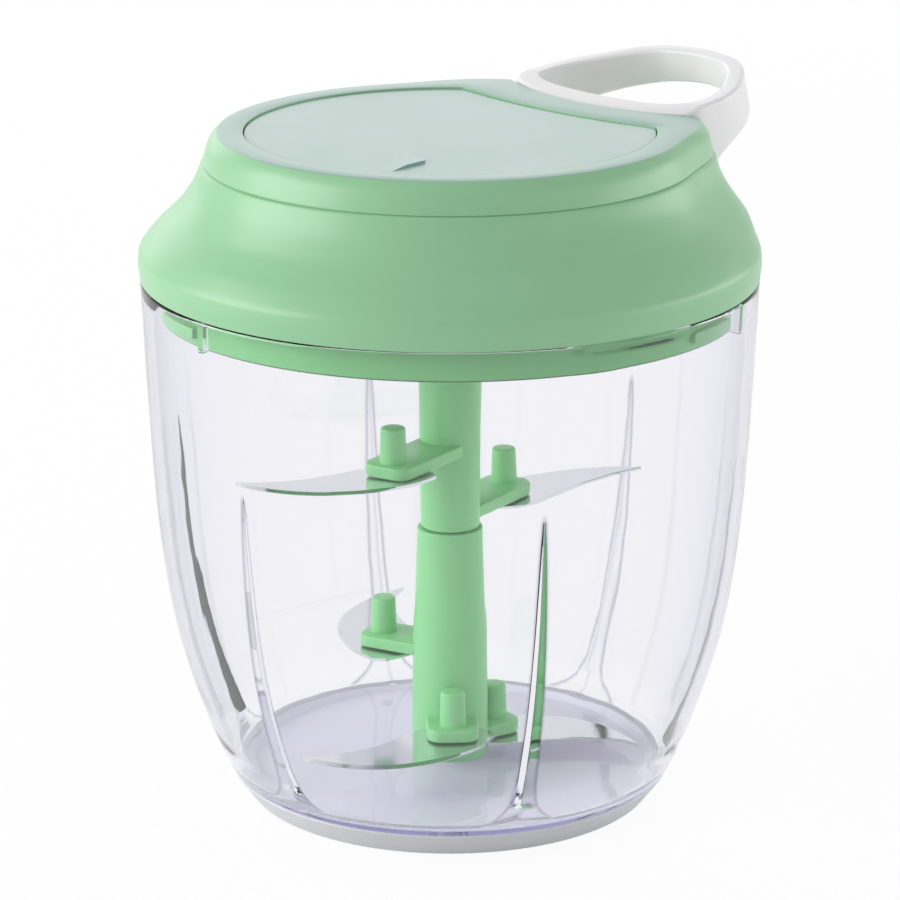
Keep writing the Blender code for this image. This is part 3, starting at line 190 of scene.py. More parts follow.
plain.inputs["Strength"].default_value = ROOM_STRENGTH
white = room_nodes.new("ShaderNodeBackground")
white.inputs["Color"].default_value = (1.0, 1.0, 1.0, 1.0)
path = room_nodes.new("ShaderNodeLightPath")
straight = room_nodes.new("ShaderNodeMath")
straight.operation = "MAXIMUM"
room_links.new(path.outputs["Is Camera Ray"], straight.inputs[0])
room_links.new(path.outputs["Is Transmission Ray"], straight.inputs[1])
mirrored_part = room_nodes.new("ShaderNodeMath")
mirrored_part.operation = "MULTIPLY_ADD"
room_links.new(path.outputs["Is Glossy Ray"], mirrored_part.inputs[0])
mirrored_part.inputs[1].default_value = MIRRORED_ROOM
room_links.new(straight.outputs[0], mirrored_part.inputs[2])
choice = room_nodes.new("ShaderNodeMixShader")
room_links.new(mirrored_part.outputs[0], choice.inputs[0])
room_links.new(plain.outputs[0], choice.inputs[1])
room_links.new(white.outputs[0], choice.inputs[2])
room_links.new(choice.outputs[0], room_nodes["World Output"].inputs["Surface"])
for name, turn, height, distance, width, depth, watts in LAMPS:
    lamp = bpy.data.lights.new(name, "AREA")
    lamp.shape = "RECTANGLE"
    lamp.size, lamp.size_y = width, depth
    lamp.energy = watts
    holder = bpy.data.objects.new(name, lamp)
    bpy.context.scene.collection.objects.link(holder)
    around, up = CAMERA_AZIMUTH + math.radians(turn), math.radians(height)
    place = Vector((math.sin(around), -math.cos(around), math.tan(up))).normalized()
    holder.location = AIM + place * distance
    holder.rotation_euler = (-place).to_track_quat("-Z", "Y").to_euler()
    holder.visible_camera = False
    holder.visible_transmission = False


# Foot pad
# Cup moulded in soft pale rubber, which the bowl's base is pressed into, so that the chopper doesn't
# slide on the table. Its inner face shows through the bowl's floor.
MERGE_DISTANCE = 2e-6


def mm(values):
    """Millimetres as metres."""
    return np.asarray(values, float) / 1000


def rounded(outline, sizes, steps=5):
    """Outline whose corners are short arcs that start and end a size away from them; 0 stays sharp."""
    corner = np.asarray(outline, float)
    size = np.broadcast_to(np.asarray(sizes, float), len(corner))[:, None]
    back, on = np.roll(corner, 1, 0) - corner, np.roll(corner, -1, 0) - corner
    start = corner + back * np.minimum(size / np.maximum(np.linalg.norm(back, axis=1)[:, None], 1e-9), 0.49)
    end = corner + on * np.minimum(size / np.maximum(np.linalg.norm(on, axis=1)[:, None], 1e-9), 0.49)
    t = np.linspace(0, 1, steps + 1)[None, :, None]
    arc = (1 - t) ** 2 * start[:, None] + 2 * t * (1 - t) * corner[:, None] + t**2 * end[:, None]
    keep = np.ones((len(corner), steps + 1), bool)
    keep[size[:, 0] == 0, 1:] = False
    return arc[keep]


def turned(profile, azimuths=None):
    """Grid of a profile turned about the axis: x = radius cos a, y = radius sin a, z = height."""
    angle = np.radians(np.arange(0, 360, 2.5) if azimuths is None else azimuths)[None, :]
    radius, height = profile[:, 0][:, None], profile[:, 1][:, None]
    return np.stack([radius * np.cos(angle), radius * np.sin(angle), height + 0 * angle], -1)


def faces_of(rows, columns, start):
    """Four-sided faces between neighbours of a grid, joined round its columns."""
    row, column = np.meshgrid(np.arange(rows - 1), np.arange(columns), indexing="ij")
    here, beside = row * columns, (column + 1) % columns
    corners = [here + column, here + beside, here + columns + beside, here + columns + column]
    return np.stack(corners, -1).reshape(-1, 4) + start


def closed_mesh(name, grids):
    """Mesh of closed skins, each a grid in millimetres: seams and poles merged, faces outwards."""
    points, faces, start = [], [], 0
    for grid in grids:
        rows, columns = grid.shape[:2]
        points.append(mm(grid).reshape(-1, 3))
        faces.append(faces_of(rows, columns, start))
        start += rows * columns
    mesh = bpy.data.meshes.new(name)
    mesh.from_pydata(np.concatenate(points).tolist(), [], np.concatenate(faces).tolist())
    build = bmesh.new()
    build.from_mesh(mesh)
    bmesh.ops.remove_doubles(build, verts=build.verts, dist=MERGE_DISTANCE)
    bmesh.ops.recalc_face_normals(build, faces=build.faces)
    build.to_mesh(mesh)
    build.free()
    return mesh


def smoothed(mesh, crease):
    """Shades a mesh smoothly, except over edges that bend by more than the crease in degrees."""
    mesh.shade_smooth()
    mesh.set_sharp_from_angle(angle=math.radians(crease))


def piece(node, grids, finish, body, crease=35.0):
    """Skin that stands for a node, with its finish and body."""
    made = bpy.data.objects.new(f"{node}_skin", closed_mesh(f"{node}_skin", grids))
    smoothed(made.data, crease)
    bpy.context.scene.collection.objects.link(made)
    made.data.materials.append(finish.material)
    if body:
        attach(made, body)
    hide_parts(node)
    return made


def marked(made, name, share_at):
    """Writes on every point of a piece a share from 0 to 1, worked out from x, y and z in millimetres."""
    spots = np.empty(len(made.data.vertices) * 3)
    made.data.vertices.foreach_get("co", spots)
    share = share_at(*(spots.reshape(-1, 3).T * 1000))
    made.data.attributes.new(name, "FLOAT", "POINT").data.foreach_set("value", np.clip(share, 0, 1))


# Painted light and shade: the inner face under the bowl is painted near white for the light that reaches it
# through the bowl's floor, and the outer face darker grey as painted shade.
rubber = Finish("foot_rubber_skin", (0.60, 0.605, 0.63), 0.5)
painted_light_share = rubber.node("ShaderNodeAttribute", {"attribute_name": "painted_light_under_bowl"}, {}, "Fac")
shaded_outer_face = rubber.tint((0.57, 0.575, 0.60), (0.62, 0.625, 0.65), rubber.noise(60.0))
rubber.set({"Base Color": rubber.tint(shaded_outer_face, (0.96, 0.95, 0.97), painted_light_share)})
rubber.set({"Roughness": 0.46 + rubber.noise(300.0) * 0.14})
rubber.set({"Normal": rubber.bump(rubber.noise(2400.0, 2.0), 0.00004)})
foot_corners = [(0, 0.0), (34, 0.0), (35, 0.5), (38, 0.5), (39, 0.0), (41.46, 0.0), (45.16, 5.0)]
foot_corners += [(45.0, 5.33), (43.3, 5.33), (42.86, 4.93), (41.26, 2.63), (40.9, 2.33), (0, 2.33)]
foot_profile = rounded(foot_corners, [0, 0.3, 0.3, 0.3, 0.3, 0.9, 0.1, 0.05, 0, 0, 0, 0, 0])
foot = piece("foot_pad", [turned(foot_profile)], rubber, "bowl")
marked(foot, "painted_light_under_bowl", lambda x, y, z: (z > 2.2) & (np.hypot(x, y) < 43.1))


# Bowl
# Injection moulded in clear plastic, with six ribs up the inside that keep food from riding round, and
# ledges under the rim that the lid's lugs turn below. Its base is bedded in the foot.
def eased(at, places, values):
    """Value between listed places: a cubic whose slope at each one is the mean of the chords beside it."""
    places, values = np.asarray(places, float), np.asarray(values, float)
    chord = np.diff(values) / np.diff(places)
    slope = np.concatenate([chord[:1], (chord[1:] + chord[:-1]) / 2, chord[-1:]])
    at = np.clip(at, places[0], places[-1])
    spot = np.clip(np.searchsorted(places, at) - 1, 0, len(places) - 2)
    span = places[spot + 1] - places[spot]
    t = (at - places[spot]) / span
    level = values[spot] * (1 + 2 * t) * (1 - t) ** 2 + values[spot + 1] * t * t * (3 - 2 * t)
    return level + span * t * (1 - t) * (slope[spot] * (1 - t) - slope[spot + 1] * t)


def rise(at, start, end):
    """0 before the start, 1 after the end, and an S curve between them."""
    t = np.clip((at - start) / (end - start), 0, 1)
    return t * t * (3 - 2 * t)


def close_columns(places, half, step, every=2.0):
    """Azimuths all round, at a wide step, with narrow steps near the given places."""
    fine = [place + np.arange(-half, half + step / 2, step) for place in places]
    return np.unique(np.round(np.concatenate([np.arange(0, 360, every), *fine]) % 360, 3))


BOWL_WALL = 2.2
BOWL_FLOOR = 6.5
RIB_TOP = 76.2
RIB_AZIMUTHS = 3.0 + 60.0 * np.arange(6)
LUG_AZIMUTHS = 163.3 + 120.0 * np.arange(3)
BOWL_LEVELS = (5.3, 8.0, 12.04, 15.98, 20.03, 28.0, 36.0, 48.0, 59.95, 76.0, 92.0, 109.0)
BOWL_RADII = (45.16, 46.77, 48.39, 50.07, 51.5, 54.1, 56.2, 58.3, 59.6, 60.7, 61.5, 62.2)


def from_rib(azimuth, places):
    """Degrees from the nearest of the given azimuths, from -180 to 180."""
    off = (azimuth[..., None] - places + 180) % 360 - 180
    return np.take_along_axis(off, np.abs(off).argmin(-1)[..., None], -1)[..., 0]


def up_rib(level):
    """Height above the bowl's floor, and the share of a rib that is still to come above that."""
    above = np.maximum(level - BOWL_FLOOR, 0)
    return above, 1 - np.clip(above / (RIB_TOP - BOWL_FLOOR), 0, 1)


def rib_half(level):
    """Half width of a rib at a height: it widens slowly downwards, and flares out just above the floor."""
    above, left = up_rib(level)
    return 2.05 * left**0.55 + 8.5 * np.exp(-above / 2.6)


def rib_depth(across, level):
    """How far a rib stands in from the wall: a ridge with two flat sides, which ends on a flared foot."""
    above, left = up_rib(level)
    side = np.clip(1 - np.sqrt(across**2 + 0.0025), 0, 1)
    ridge = 1.8 * left**0.7 * side * rise(level, 11.2, 12.6)
    foot = 2.4 * np.exp(-above / 3.4) * np.clip(1 - across, 0, 1) ** 1.15
    return (ridge + foot) * (level < RIB_TOP)


def ledge_depth(azimuth, level):
    """How far the bayonet's ledges and their two stops stand in from the wall under the rim."""
    off = (azimuth[..., None] - LUG_AZIMUTHS + 180) % 360 - 180
    high = level[..., None]
    ledge = rise(off, -38.0, -29.0) * (1 - rise(off, -13.0, -8.5)) * rise(high, 106.0, 107.6)
    entry = rise(off, 9.2, 9.6) * (1 - rise(off, 10.4, 10.8)) * rise(high, 102.4, 102.6)
    lock = 0.4 * rise(off, -38.0, -31.0) * (1 - rise(off, -29.5, -24.0)) * rise(high, 102.4, 106.4)
    return 1.36 * np.minimum(ledge + entry + lock, 1).max(-1) * (1 - rise(level, 108.5, 108.7))


outer_levels = np.concatenate([[5.55, 6.0], np.arange(7.0, 107.0, 3.1), [107.4, 108.35]])
inner_levels = np.concatenate([
    [108.6, 108.5, 107.6, 107.3, 107.0, 106.7, 106.4, 106.2, 106.0, 105.2, 104.4, 103.5],
    [102.6, 102.5, 102.4, 101.0, 97.0, 92.0, 87.0, 82.0, 78.0],
    np.arange(RIB_TOP, 30.0, -2.2),
    np.arange(30.0, 14.0, -1.2),
    np.arange(14.0, 9.2, -0.5),
])
outer_wall = np.stack([eased(outer_levels, BOWL_LEVELS, BOWL_RADII), outer_levels], -1)
inner_wall = np.stack([eased(inner_levels, BOWL_LEVELS, BOWL_RADII) - BOWL_WALL, inner_levels], -1)
base = [(0, 2.3), (15, 2.3), (30, 2.3), (40.9, 2.3), (41.3, 2.6), (42.9, 4.9), (43.3, 5.3), (44.9, 5.3)]
rim = [(62.16, 108.6), (62.0, 108.87), (61.7, 109.0), (60.5, 109.0), (60.15, 108.9), (60.0, 108.7)]
turn = np.linspace(0, 1, 9)[1:, None]
foot_of_wall = inner_wall[-1]
bend = np.array([foot_of_wall[0] - 0.9, BOWL_FLOOR])
flat = np.array([foot_of_wall[0] - 4.4, BOWL_FLOOR])
fillet = (1 - turn) ** 2 * foot_of_wall + 2 * turn * (1 - turn) * bend + turn**2 * flat
floor_rows = [(across, BOWL_FLOOR) for across in (37.0, 34.5, 30, 20, 10, 5, 3.0)]
floor_rows += [(2.8, 6.3), (2.8, 3.2), (0, 3.2)]
profile = np.concatenate([base, outer_wall, rim, inner_wall, fillet, floor_rows])
inner_start = len(base) + len(outer_wall) + len(rim)
near = close_columns([*RIB_AZIMUTHS, *(LUG_AZIMUTHS + 10)], 2.8, 0.2)
columns = np.unique(np.concatenate([near, close_columns(RIB_AZIMUTHS, 14, 0.7, 90.0)]))
inside = slice(inner_start, inner_start + len(inner_wall) + len(fillet))
wall, level = profile[inside, 0][:, None], profile[inside, 1][:, None]
off = from_rib(columns, RIB_AZIMUTHS)[None, :]
half = np.degrees(rib_half(level) / wall)
half = half + (2.0 - half) * rise(level, 76.0, 92.0)
aside = np.abs(off)
drawn = np.where(aside < 2.0, aside * half / 2, half + (aside - 2) * (30 - half) / 28)
place = columns[None, :] - off + np.sign(off) * drawn
fade = np.ones((len(inner_wall) + len(fillet), 1))
fade[-len(fillet) :, 0] = 1 - rise(np.arange(len(fillet)), 3, len(fillet) - 1)
level = level + 0 * place
left = wall - rib_depth(aside / 2, level) * fade - ledge_depth(place, level)
bowl_grid = turned(profile, columns)
bowl_grid[inside, :, 0] = left * np.cos(np.radians(place))
bowl_grid[inside, :, 1] = left * np.sin(np.radians(place))
clear = Finish("clear_bowl_skin", (0.985, 0.982, 0.995), 0.015, Transmission_Weight=1.0, IOR=1.45)
# Painted shade: dark grey lines on the ribs' feet and crests stand in for the light that their edges
# refract away.
painted_rib_lines = clear.node("ShaderNodeAttribute", {"attribute_name": "painted_rib_edge"}, {}, "Fac")
on_wall = clear.node("ShaderNodeAttribute", {"attribute_name": "wall"}, {}, "Fac")
# Painted shade: the wall's tint turns dark violet grey where it is seen edge on, with a faint share of it
# all over the wall, standing in for the darker room that the bowl's edges refract.
grazing = clear.node("ShaderNodeLayerWeight", {}, {"Blend": 0.5}, "Facing")
grazing = grazing * grazing
painted_edge_share = (grazing * grazing * 0.95 + 0.05) * on_wall
painted_edge_colour = clear.tint((1.0, 1.0, 1.0), (0.34, 0.33, 0.52), painted_edge_share)
clear.set({"Base Color": clear.tint(painted_edge_colour, (0.36, 0.35, 0.45), painted_rib_lines)})
clear.set({"Normal": clear.bump(clear.noise(55.0, 2.0), 0.00005)})
shadow = clear.node("ShaderNodeLightPath", {}, {}, "Is Shadow Ray")
through = clear.node("ShaderNodeBsdfTransparent", {}, {"Color": (1.0, 1.0, 1.0, 1.0)})
plastic = Value(clear, clear.shader.outputs[0])
surface = clear.node("ShaderNodeMixShader", {}, {0: shadow, 1: plastic, 2: through})
depth = {"Color": (0.70, 0.69, 0.86, 1.0), "Density": 36.0}
depth = clear.node("ShaderNodeVolumeAbsorption", {}, depth)
clear.set({"Surface": surface, "Volume": depth}, clear.output)
bowl = piece("bowl", [bowl_grid], clear, "bowl", crease=30.0)


def painted_rib_edge(x, y, z):
    """Share of the painted dark lines that stand in for light bent at a rib's edges: 1 on its two foot
    lines and a half on its crest, fading within a third of a millimetre.
    """
    radius = np.hypot(x, y)
    across = np.abs(np.radians(from_rib(np.degrees(np.arctan2(y, x)), RIB_AZIMUTHS))) * radius
    half = rib_half(z)
    feet = np.exp(-(((across - half) / np.maximum(0.34, 0.1 * half)) ** 2))
    crest = np.exp(-((across / 0.3) ** 2))
    inside_wall = radius < eased(z, BOWL_LEVELS, BOWL_RADII) - 1.2
    return (feet + 0.5 * crest) * (inside_wall & (z > 7.0) & (z < 75.5))


marked(bowl, "painted_rib_edge", painted_rib_edge)
marked(bowl, "wall", lambda x, y, z: (z - 9.0) / 6.0)


# Centre pin
# Pin turned from steel bar and pressed into the bowl's floor. The blade tree is dropped over its
# chamfered nose and turns on it.
steel = Finish("brushed_steel_skin", (0.74, 0.745, 0.77), 0.3, Metallic=1.0)
steel.set({"Base Color": steel.tint((0.70, 0.71, 0.74), (0.78, 0.785, 0.80), steel.noise(240.0))})
steel.set({"Roughness": 0.24 + steel.noise(900.0, 3.0, (1.0, 0.15, 1.0)) * 0.14})
steel.set({"Normal": steel.bump(steel.noise(3000.0, 2.0, (1.0, 0.08, 1.0)), 0.000006)})
pin_profile = rounded([(0, 3.5), (2.5, 3.5), (2.5, 20.25), (1.25, 21.5), (0, 21.5)], [0, 0.2, 0.3, 0.3, 0])
piece("centre_pin", [turned(pin_profile)], steel, "bowl")


# Blade holders
# Two mouldings of the same green plastic. The lower one, with three arms, drops over the pin; the upper
# one, with two arms, plugs onto it and carries the head that the lid drives.
def slab(outline, low, high, edge=0.5):
    """Plate of a star-shaped outline: rings drawn in by an arc at both faces, and closed at its middle."""
    outline = np.asarray(outline, float)
    after, before = np.roll(outline, -1, 0), np.roll(outline, 1, 0)
    way = after - before
    way /= np.linalg.norm(way, axis=1)[:, None]
    inward = np.stack([-way[:, 1], way[:, 0]], -1)
    area = (outline[:, 0] * after[:, 1] - after[:, 0] * outline[:, 1]).sum()
    inward *= np.sign(area)
    middle = outline.mean(0)
    t = np.linspace(0, math.pi / 2, 5)
    rings = [(None, low)] + [(edge * (1 - math.sin(a)), low + edge * (1 - math.cos(a))) for a in t]
    rings += [(edge * (1 - math.cos(a)), high - edge * (1 - math.sin(a))) for a in t] + [(None, high)]
    rows = []
    for inset, level in rings:
        flat = np.broadcast_to(middle, outline.shape) if inset is None else outline + inward * inset
        rows.append(np.concatenate([flat, np.full((len(outline), 1), level)], 1))
    return np.stack(rows)


def placed(grid, turn=0.0, x=0.0, y=0.0, z=0.0):
    """Grid turned about the axis by degrees, after it was moved."""
    moved = grid + np.array([x, y, z])
    angle = math.radians(turn)
    spun = moved.copy()
    spun[..., 0] = moved[..., 0] * math.cos(angle) - moved[..., 1] * math.sin(angle)
    spun[..., 1] = moved[..., 0] * math.sin(angle) + moved[..., 1] * math.cos(angle)
    return spun


def moulded(name, colour, other, roughness, band=None):
    """Moulded plastic: a faint cloud of colour and gloss, and the mould's grain. A band is painted light or
    shade: a colour that takes over between two heights in metres."""
    finish = Finish(name, colour, roughness)
    cloud = finish.noise(38.0, 4.0)
    tone = finish.tint(colour, other, cloud)
    if band:
        painted_band_colour, start, end = band
        spot = finish.node("ShaderNodeTexCoord", {}, {}, "Object")
        height = finish.node("ShaderNodeSeparateXYZ", {}, {"Vector": spot}, "Z")
        reach = {"Value": height, "From Min": start, "From Max": end}
        tone = finish.tint(tone, painted_band_colour, finish.node("ShaderNodeMapRange", {}, reach))
    finish.set({"Base Color": tone})
    finish.set({"Roughness": roughness - 0.04 + cloud * 0.08})
    finish.set({"Normal": finish.bump(finish.noise(1500.0, 2.0), 0.000015)})
    return finish


ARMS = {
    # blade: holder, azimuth, reach of its post, top of its arm, sweep of the blade, its length
    "bottom_blade": ("lower", -11.7, 11.0, 12.1, -50.0, 31.15),
    "front_blade": ("lower", -131.7, 11.0, 16.5, -74.0, 32.13),
    "middle_blade": ("lower", 108.3, 15.5, 30.7, -69.0, 35.56),
    "second_blade": ("upper", 11.8, 20.5, 60.0, -42.0, 30.23),
    "high_blade": ("upper", 191.8, 20.5, 74.5, -49.0, 31.29),
}
ARM_THICKNESS = 2.6
POST_HEIGHT = 7.3
RIVET_DROP = 4.0


def arm(azimuth, reach, top):
    """Tab with a rounded end, a tapered post above it and a flat rivet head below it."""
    end, half = reach + 4.0, 5.3
    outline = rounded([(0, -half), (end, -half), (end, half), (0, half)], [0, 3.6, 3.6, 0], 10)
    grids = [slab(outline, top - ARM_THICKNESS, top, 0.45)]
    root, peak, low = top - 0.3, top + POST_HEIGHT, top - RIVET_DROP
    post = rounded([(0, root), (2.75, root), (2.45, peak), (0, peak)], [0, 0.1, 0.6, 0])
    rivet_corners = [(0, low - 0.6), (2.4, low - 0.6), (2.4, low), (1.6, low), (1.6, top - 2), (0, top - 2)]
    for part in (post, rounded(rivet_corners, [0, 0.4, 0.15, 0, 0, 0])):
        grids.append(placed(turned(part, np.arange(0, 360, 10)), x=reach))
    return [placed(grid, azimuth) for grid in grids]


def holder_grids(shaft, which):
    """Shaft of a blade holder, and those arms that belong to it."""
    grids = [turned(shaft)]
    for holder, azimuth, reach, top, sweep, length in ARMS.values():
        if holder == which:
            grids += arm(azimuth, reach, top)
    return grids


# Painted light: the holders' green is a brighter, more saturated copy of the cover's plastic, standing in
# for green light bounced round the inside of the bowl.
green = moulded("green_plastic_skin", (0.215, 0.57, 0.235), (0.235, 0.595, 0.255), 0.32)
lower_corners = [(0, 21.8), (2.8, 21.8), (2.8, 6.8), (7.9, 6.8), (7.78, 21.5), (7.6, 33.7), (7.15, 40.3)]
lower_corners += [(6.75, 55.7), (4.4, 55.7), (4.4, 64.5), (0, 64.5)]
lower_shaft = rounded(lower_corners, [0, 0.1, 0.3, 0.5, 3, 2.5, 4, 0.35, 0.2, 0.6, 0], 8)
piece("lower_blade_holder", holder_grids(lower_shaft, "lower"), green, "blade_tree")
upper_corners = [(0, 65.3), (4.7, 65.3), (4.7, 56.0), (6.0, 56.0), (6.6, 102.6), (6.6, 103.0), (4.6, 103.0)]
upper_corners += [(4.6, 110.7), (0, 110.7)]
upper_shaft = rounded(upper_corners, [0, 0.1, 0.2, 0.3, 0.2, 0.2, 0.1, 0.5, 0])


def block(inner, outer, low, high, start, stop, edge=0.25):
    """Part of a ring between two azimuths in degrees, with its edges eased."""
    sweep = np.radians(np.linspace(start, stop, 9))
    ring = np.concatenate([
        np.stack([outer * np.cos(sweep), outer * np.sin(sweep)], -1),
        np.stack([inner * np.cos(sweep[::-1]), inner * np.sin(sweep[::-1])], -1),
    ])
    return slab(ring, low, high, edge)


dogs = [block(4.2, 6.4, 102.8, 110.7, turn - 12, turn + 12) for turn in (0, 120, 240)]
piece("upper_blade_holder", holder_grids(upper_shaft, "upper") + dogs, green, "blade_tree")


# Blades
# Five swept blades punched from sheet steel and ground along the leading edge. Each is riveted under an
# arm, with its tail against the shaft.
def cut(target, grid, crease=35.0):
    """Takes a closed skin away from a piece, and the piece keeps the result as its mesh."""
    tool = bpy.data.objects.new("tool", closed_mesh("tool", [grid]))
    bpy.context.scene.collection.objects.link(tool)
    change = target.modifiers.new("cut", "BOOLEAN")
    change.operation, change.solver, change.object = "DIFFERENCE", "EXACT", tool
    bpy.context.view_layer.update()
    made = bpy.data.meshes.new_from_object(target.evaluated_get(bpy.context.evaluated_depsgraph_get()))
    target.modifiers.clear()
    target.data = made
    bpy.data.meshes.remove(tool.data)
    smoothed(made, crease)


def capped(grid):
    """Grid along a path, closed at both ends with the middle of its first and last ring."""
    ends = [np.broadcast_to(grid[row].mean(0), grid[0].shape)[None] for row in (0, -1)]
    return np.concatenate([ends[0], grid, ends[1]])


BLADE_WIDTH = 16.0
BLADE_THICKNESS = 0.6
SHOULDER = 0.12
BLADE_SHAPE = np.array([
    # share of the length, and the back and front edges as shares of the width
    (-0.27, -0.10, 0.08),
    (-0.13, -0.44, 0.37),
    (0.03, -0.50, 0.55),
    (0.18, -0.40, 0.66),
    (0.36, -0.20, 0.71),
    (0.54, -0.02, 0.68),
    (0.72, 0.05, 0.54),
    (0.88, 0.06, 0.30),
    (1.0, 0.0, 0.04),
])
ground = Finish("blade_steel_skin", (0.76, 0.775, 0.81), 0.12, Metallic=1.0)
ground.set({"Base Color": ground.tint((0.74, 0.755, 0.79), (0.79, 0.80, 0.83), ground.noise(150.0))})
ground.set({"Roughness": 0.1 + ground.noise(700.0, 3.0, (1.0, 0.12, 1.0)) * 0.05})
ground.set({"Normal": ground.bump(ground.noise(2600.0, 2.0, (1.0, 0.1, 1.0)), 0.000006)})
for name, (holder, azimuth, reach, top, sweep, length) in ARMS.items():
    share = np.concatenate([np.linspace(-0.27, 0.1, 14), np.linspace(0.13, 0.97, 29), [0.985, 1.0]])
    back = BLADE_WIDTH * eased(share, BLADE_SHAPE[:, 0], BLADE_SHAPE[:, 1])
    front = BLADE_WIDTH * eased(share, BLADE_SHAPE[:, 0], BLADE_SHAPE[:, 2])
    tip_rise = 3.5 if name == "second_blade" else 0.0
    lean = 0.045 if name == "high_blade" else 0.0
    high = top - ARM_THICKNESS - 0.3 + tip_rise * np.maximum(share, 0) ** 2
    under = high - BLADE_THICKNESS
    sharp = rise(share, 0.0, SHOULDER)
    grind = np.minimum(0.8, 0.3 * (front - back)) * sharp
    edge = np.stack([back, back + 0.1, front - 0.02, front, front - 0.03 - grind, back + 0.1, back], -1)
    tip = under + 0.1 + 0.36 * (1 - sharp)
    level = np.stack([under + 0.1, under, under, tip, high, high, high - 0.1], -1) + lean * edge
    along = np.broadcast_to((share * length)[:, None], edge.shape)
    grid = capped(np.stack([along, edge, level], -1))
    grid = placed(placed(placed(grid, sweep), x=reach), azimuth)
    made = piece(name, [grid], ground, "blade_tree")
    gap = 8.2 if holder == "lower" else 6.5
    cut(made, turned(np.array([(0, top - 8), (gap, top - 8), (gap, top + 4), (0, top + 4)])), 12.0)


# Rim seal
# Ring cut from a tube of soft rubber. It sits round the skirt, squeezed between the lid and the bowl's
# rim, and shows as a thin dark line.
soft = Finish("seal_rubber_skin", (0.15, 0.32, 0.19), 0.5)
soft.set({"Base Color": soft.tint((0.13, 0.29, 0.17), (0.18, 0.36, 0.22), soft.noise(90.0))})
soft.set({"Roughness": 0.45 + soft.noise(500.0) * 0.15, "Normal": soft.bump(soft.noise(1800.0), 0.00002)})


def tube(corners, sizes, steps=5):
    """Closed profile of a ring, with its last point on its first."""
    profile = rounded(corners, sizes, steps)
    return np.concatenate([profile, profile[:1]])


seal_ring = tube([(58.44, 109.3), (61.64, 109.3), (61.64, 110.0), (58.44, 110.0)], 0.25)
piece("rim_seal", [turned(seal_ring)], soft, "seal")


# Lid base
# Inner half of the lid, moulded in the same green: a floor with the drive's housing, and a skirt whose
# three lugs turn under the bowl's ledges. It is screwed to the cover from below.
base_corners = [(9.8, 103.5), (13.2, 103.5), (13.2, 105.6), (56.34, 105.6), (56.34, 102.5), (58.14, 102.5)]
base_corners += [(58.14, 110.3), (59.85, 110.3), (59.85, 111.8), (56.34, 111.8), (56.34, 107.4)]
base_corners += [(13.2, 107.4), (13.2, 111.3), (11.4, 111.3), (11.4, 104.3), (9.8, 104.3)]
base_sizes = [0.3, 0.4, 0.6, 0.6, 0.5, 0.5, 0.2, 0.2, 0.3, 0.3, 0.6, 0.6, 0.3, 0.3, 0.2, 0.2]
grids = [turned(tube(base_corners, base_sizes))]
grids += [block(57.6, 59.24, 104.3, 106.4, turn - 6.5, turn + 6.5, 0.35) for turn in LUG_AZIMUTHS]
# Painted light and shade: the skirt's green is a more saturated copy of the cover's plastic, standing in
# for bounced green light, and a near black band is painted as shade along its lower edge.
shaded_edge = ((0.035, 0.13, 0.05), 0.10292, 0.10272)
skirt = moulded("skirt_plastic_skin", (0.18, 0.53, 0.20), (0.20, 0.55, 0.215), 0.34, shaded_edge)
piece("lid_base", grids, skirt, "lid")


# Drive
# Ratchet cup with a hub, moulded in white nylon. The hub turns in a bush in the housing and drives the
# shaft's head, and the cup hangs under the spool on a washer and a steel axle.
def dressed(node, finish):
    """Gives a solid that keeps its own shape the finish in its slot."""
    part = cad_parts[node]
    for place in part.material_slots:
        place.material = finish.material


nylon = moulded("white_plastic_skin", (0.77, 0.765, 0.77), (0.80, 0.795, 0.79), 0.4)
bearing = moulded("bush_plastic_skin", (0.78, 0.75, 0.66), (0.81, 0.79, 0.71), 0.42)
dressed("drive_socket", nylon)
bush_ring = tube([(9.6, 104.6), (11.1, 104.6), (11.1, 111.6), (9.6, 111.6)], 0.25)
piece("drive_bush", [turned(bush_ring)], bearing, "lid")
washer_ring = tube([(1.8, 116.9), (4.6, 116.9), (4.6, 117.7), (1.8, 117.7)], 0.15)
piece("thrust_washer", [turned(washer_ring)], bearing, "drive")
axle_profile = rounded([(0, 112.5), (1.5, 112.5), (1.5, 132.4), (0, 132.4)], [0, 0.3, 0.3, 0])
piece("spool_axle", [turned(axle_profile)], steel, "lid")


# Spool
# Nylon drum that the cord winds on, with the return spring in its chamber, a disc over the spring, and
# two pawls under its web that push the ratchet cup one way only.
spool_corners = [(2.1, 118.0), (21.7, 118.0), (21.7, 122.05), (28.0, 122.05), (28.0, 123.25)]
spool_corners += [(21.7, 123.25), (21.7, 133.2), (28.0, 133.2), (28.0, 134.4), (20.3, 134.4)]
spool_corners += [(20.3, 131.4), (19.6, 131.4), (19.6, 119.8), (2.1, 119.8)]
grids = [turned(tube(spool_corners, 0.25))]
for side in (-8.6, 8.6):
    post = rounded([(0, 114.2), (1.4, 114.2), (1.4, 118.3), (0, 118.3)], [0, 0.25, 0, 0])
    grids.append(placed(turned(post, np.arange(0, 360, 15)), x=side))
piece("spool", grids, nylon, "spool")
cover_ring = tube([(5.1, 131.7), (20.0, 131.7), (20.0, 132.9), (5.1, 132.9)], 0.3)
piece("spool_cover", [turned(cover_ring)], nylon, "spool")
dressed("clutch_pawl_a", nylon)
dressed("clutch_pawl_b", nylon)
SPRING_TURNS = 7
SPRING_START, SPRING_END = 4.95, 18.9
turns = np.linspace(0, SPRING_TURNS, SPRING_TURNS * 60 + 1)[:, None]
ribbon = np.array([
    (0, 120.35), (0.05, 120.3), (0.35, 120.3), (0.4, 120.35),
    (0.4, 131.15), (0.35, 131.2), (0.05, 131.2), (0, 131.15),
])
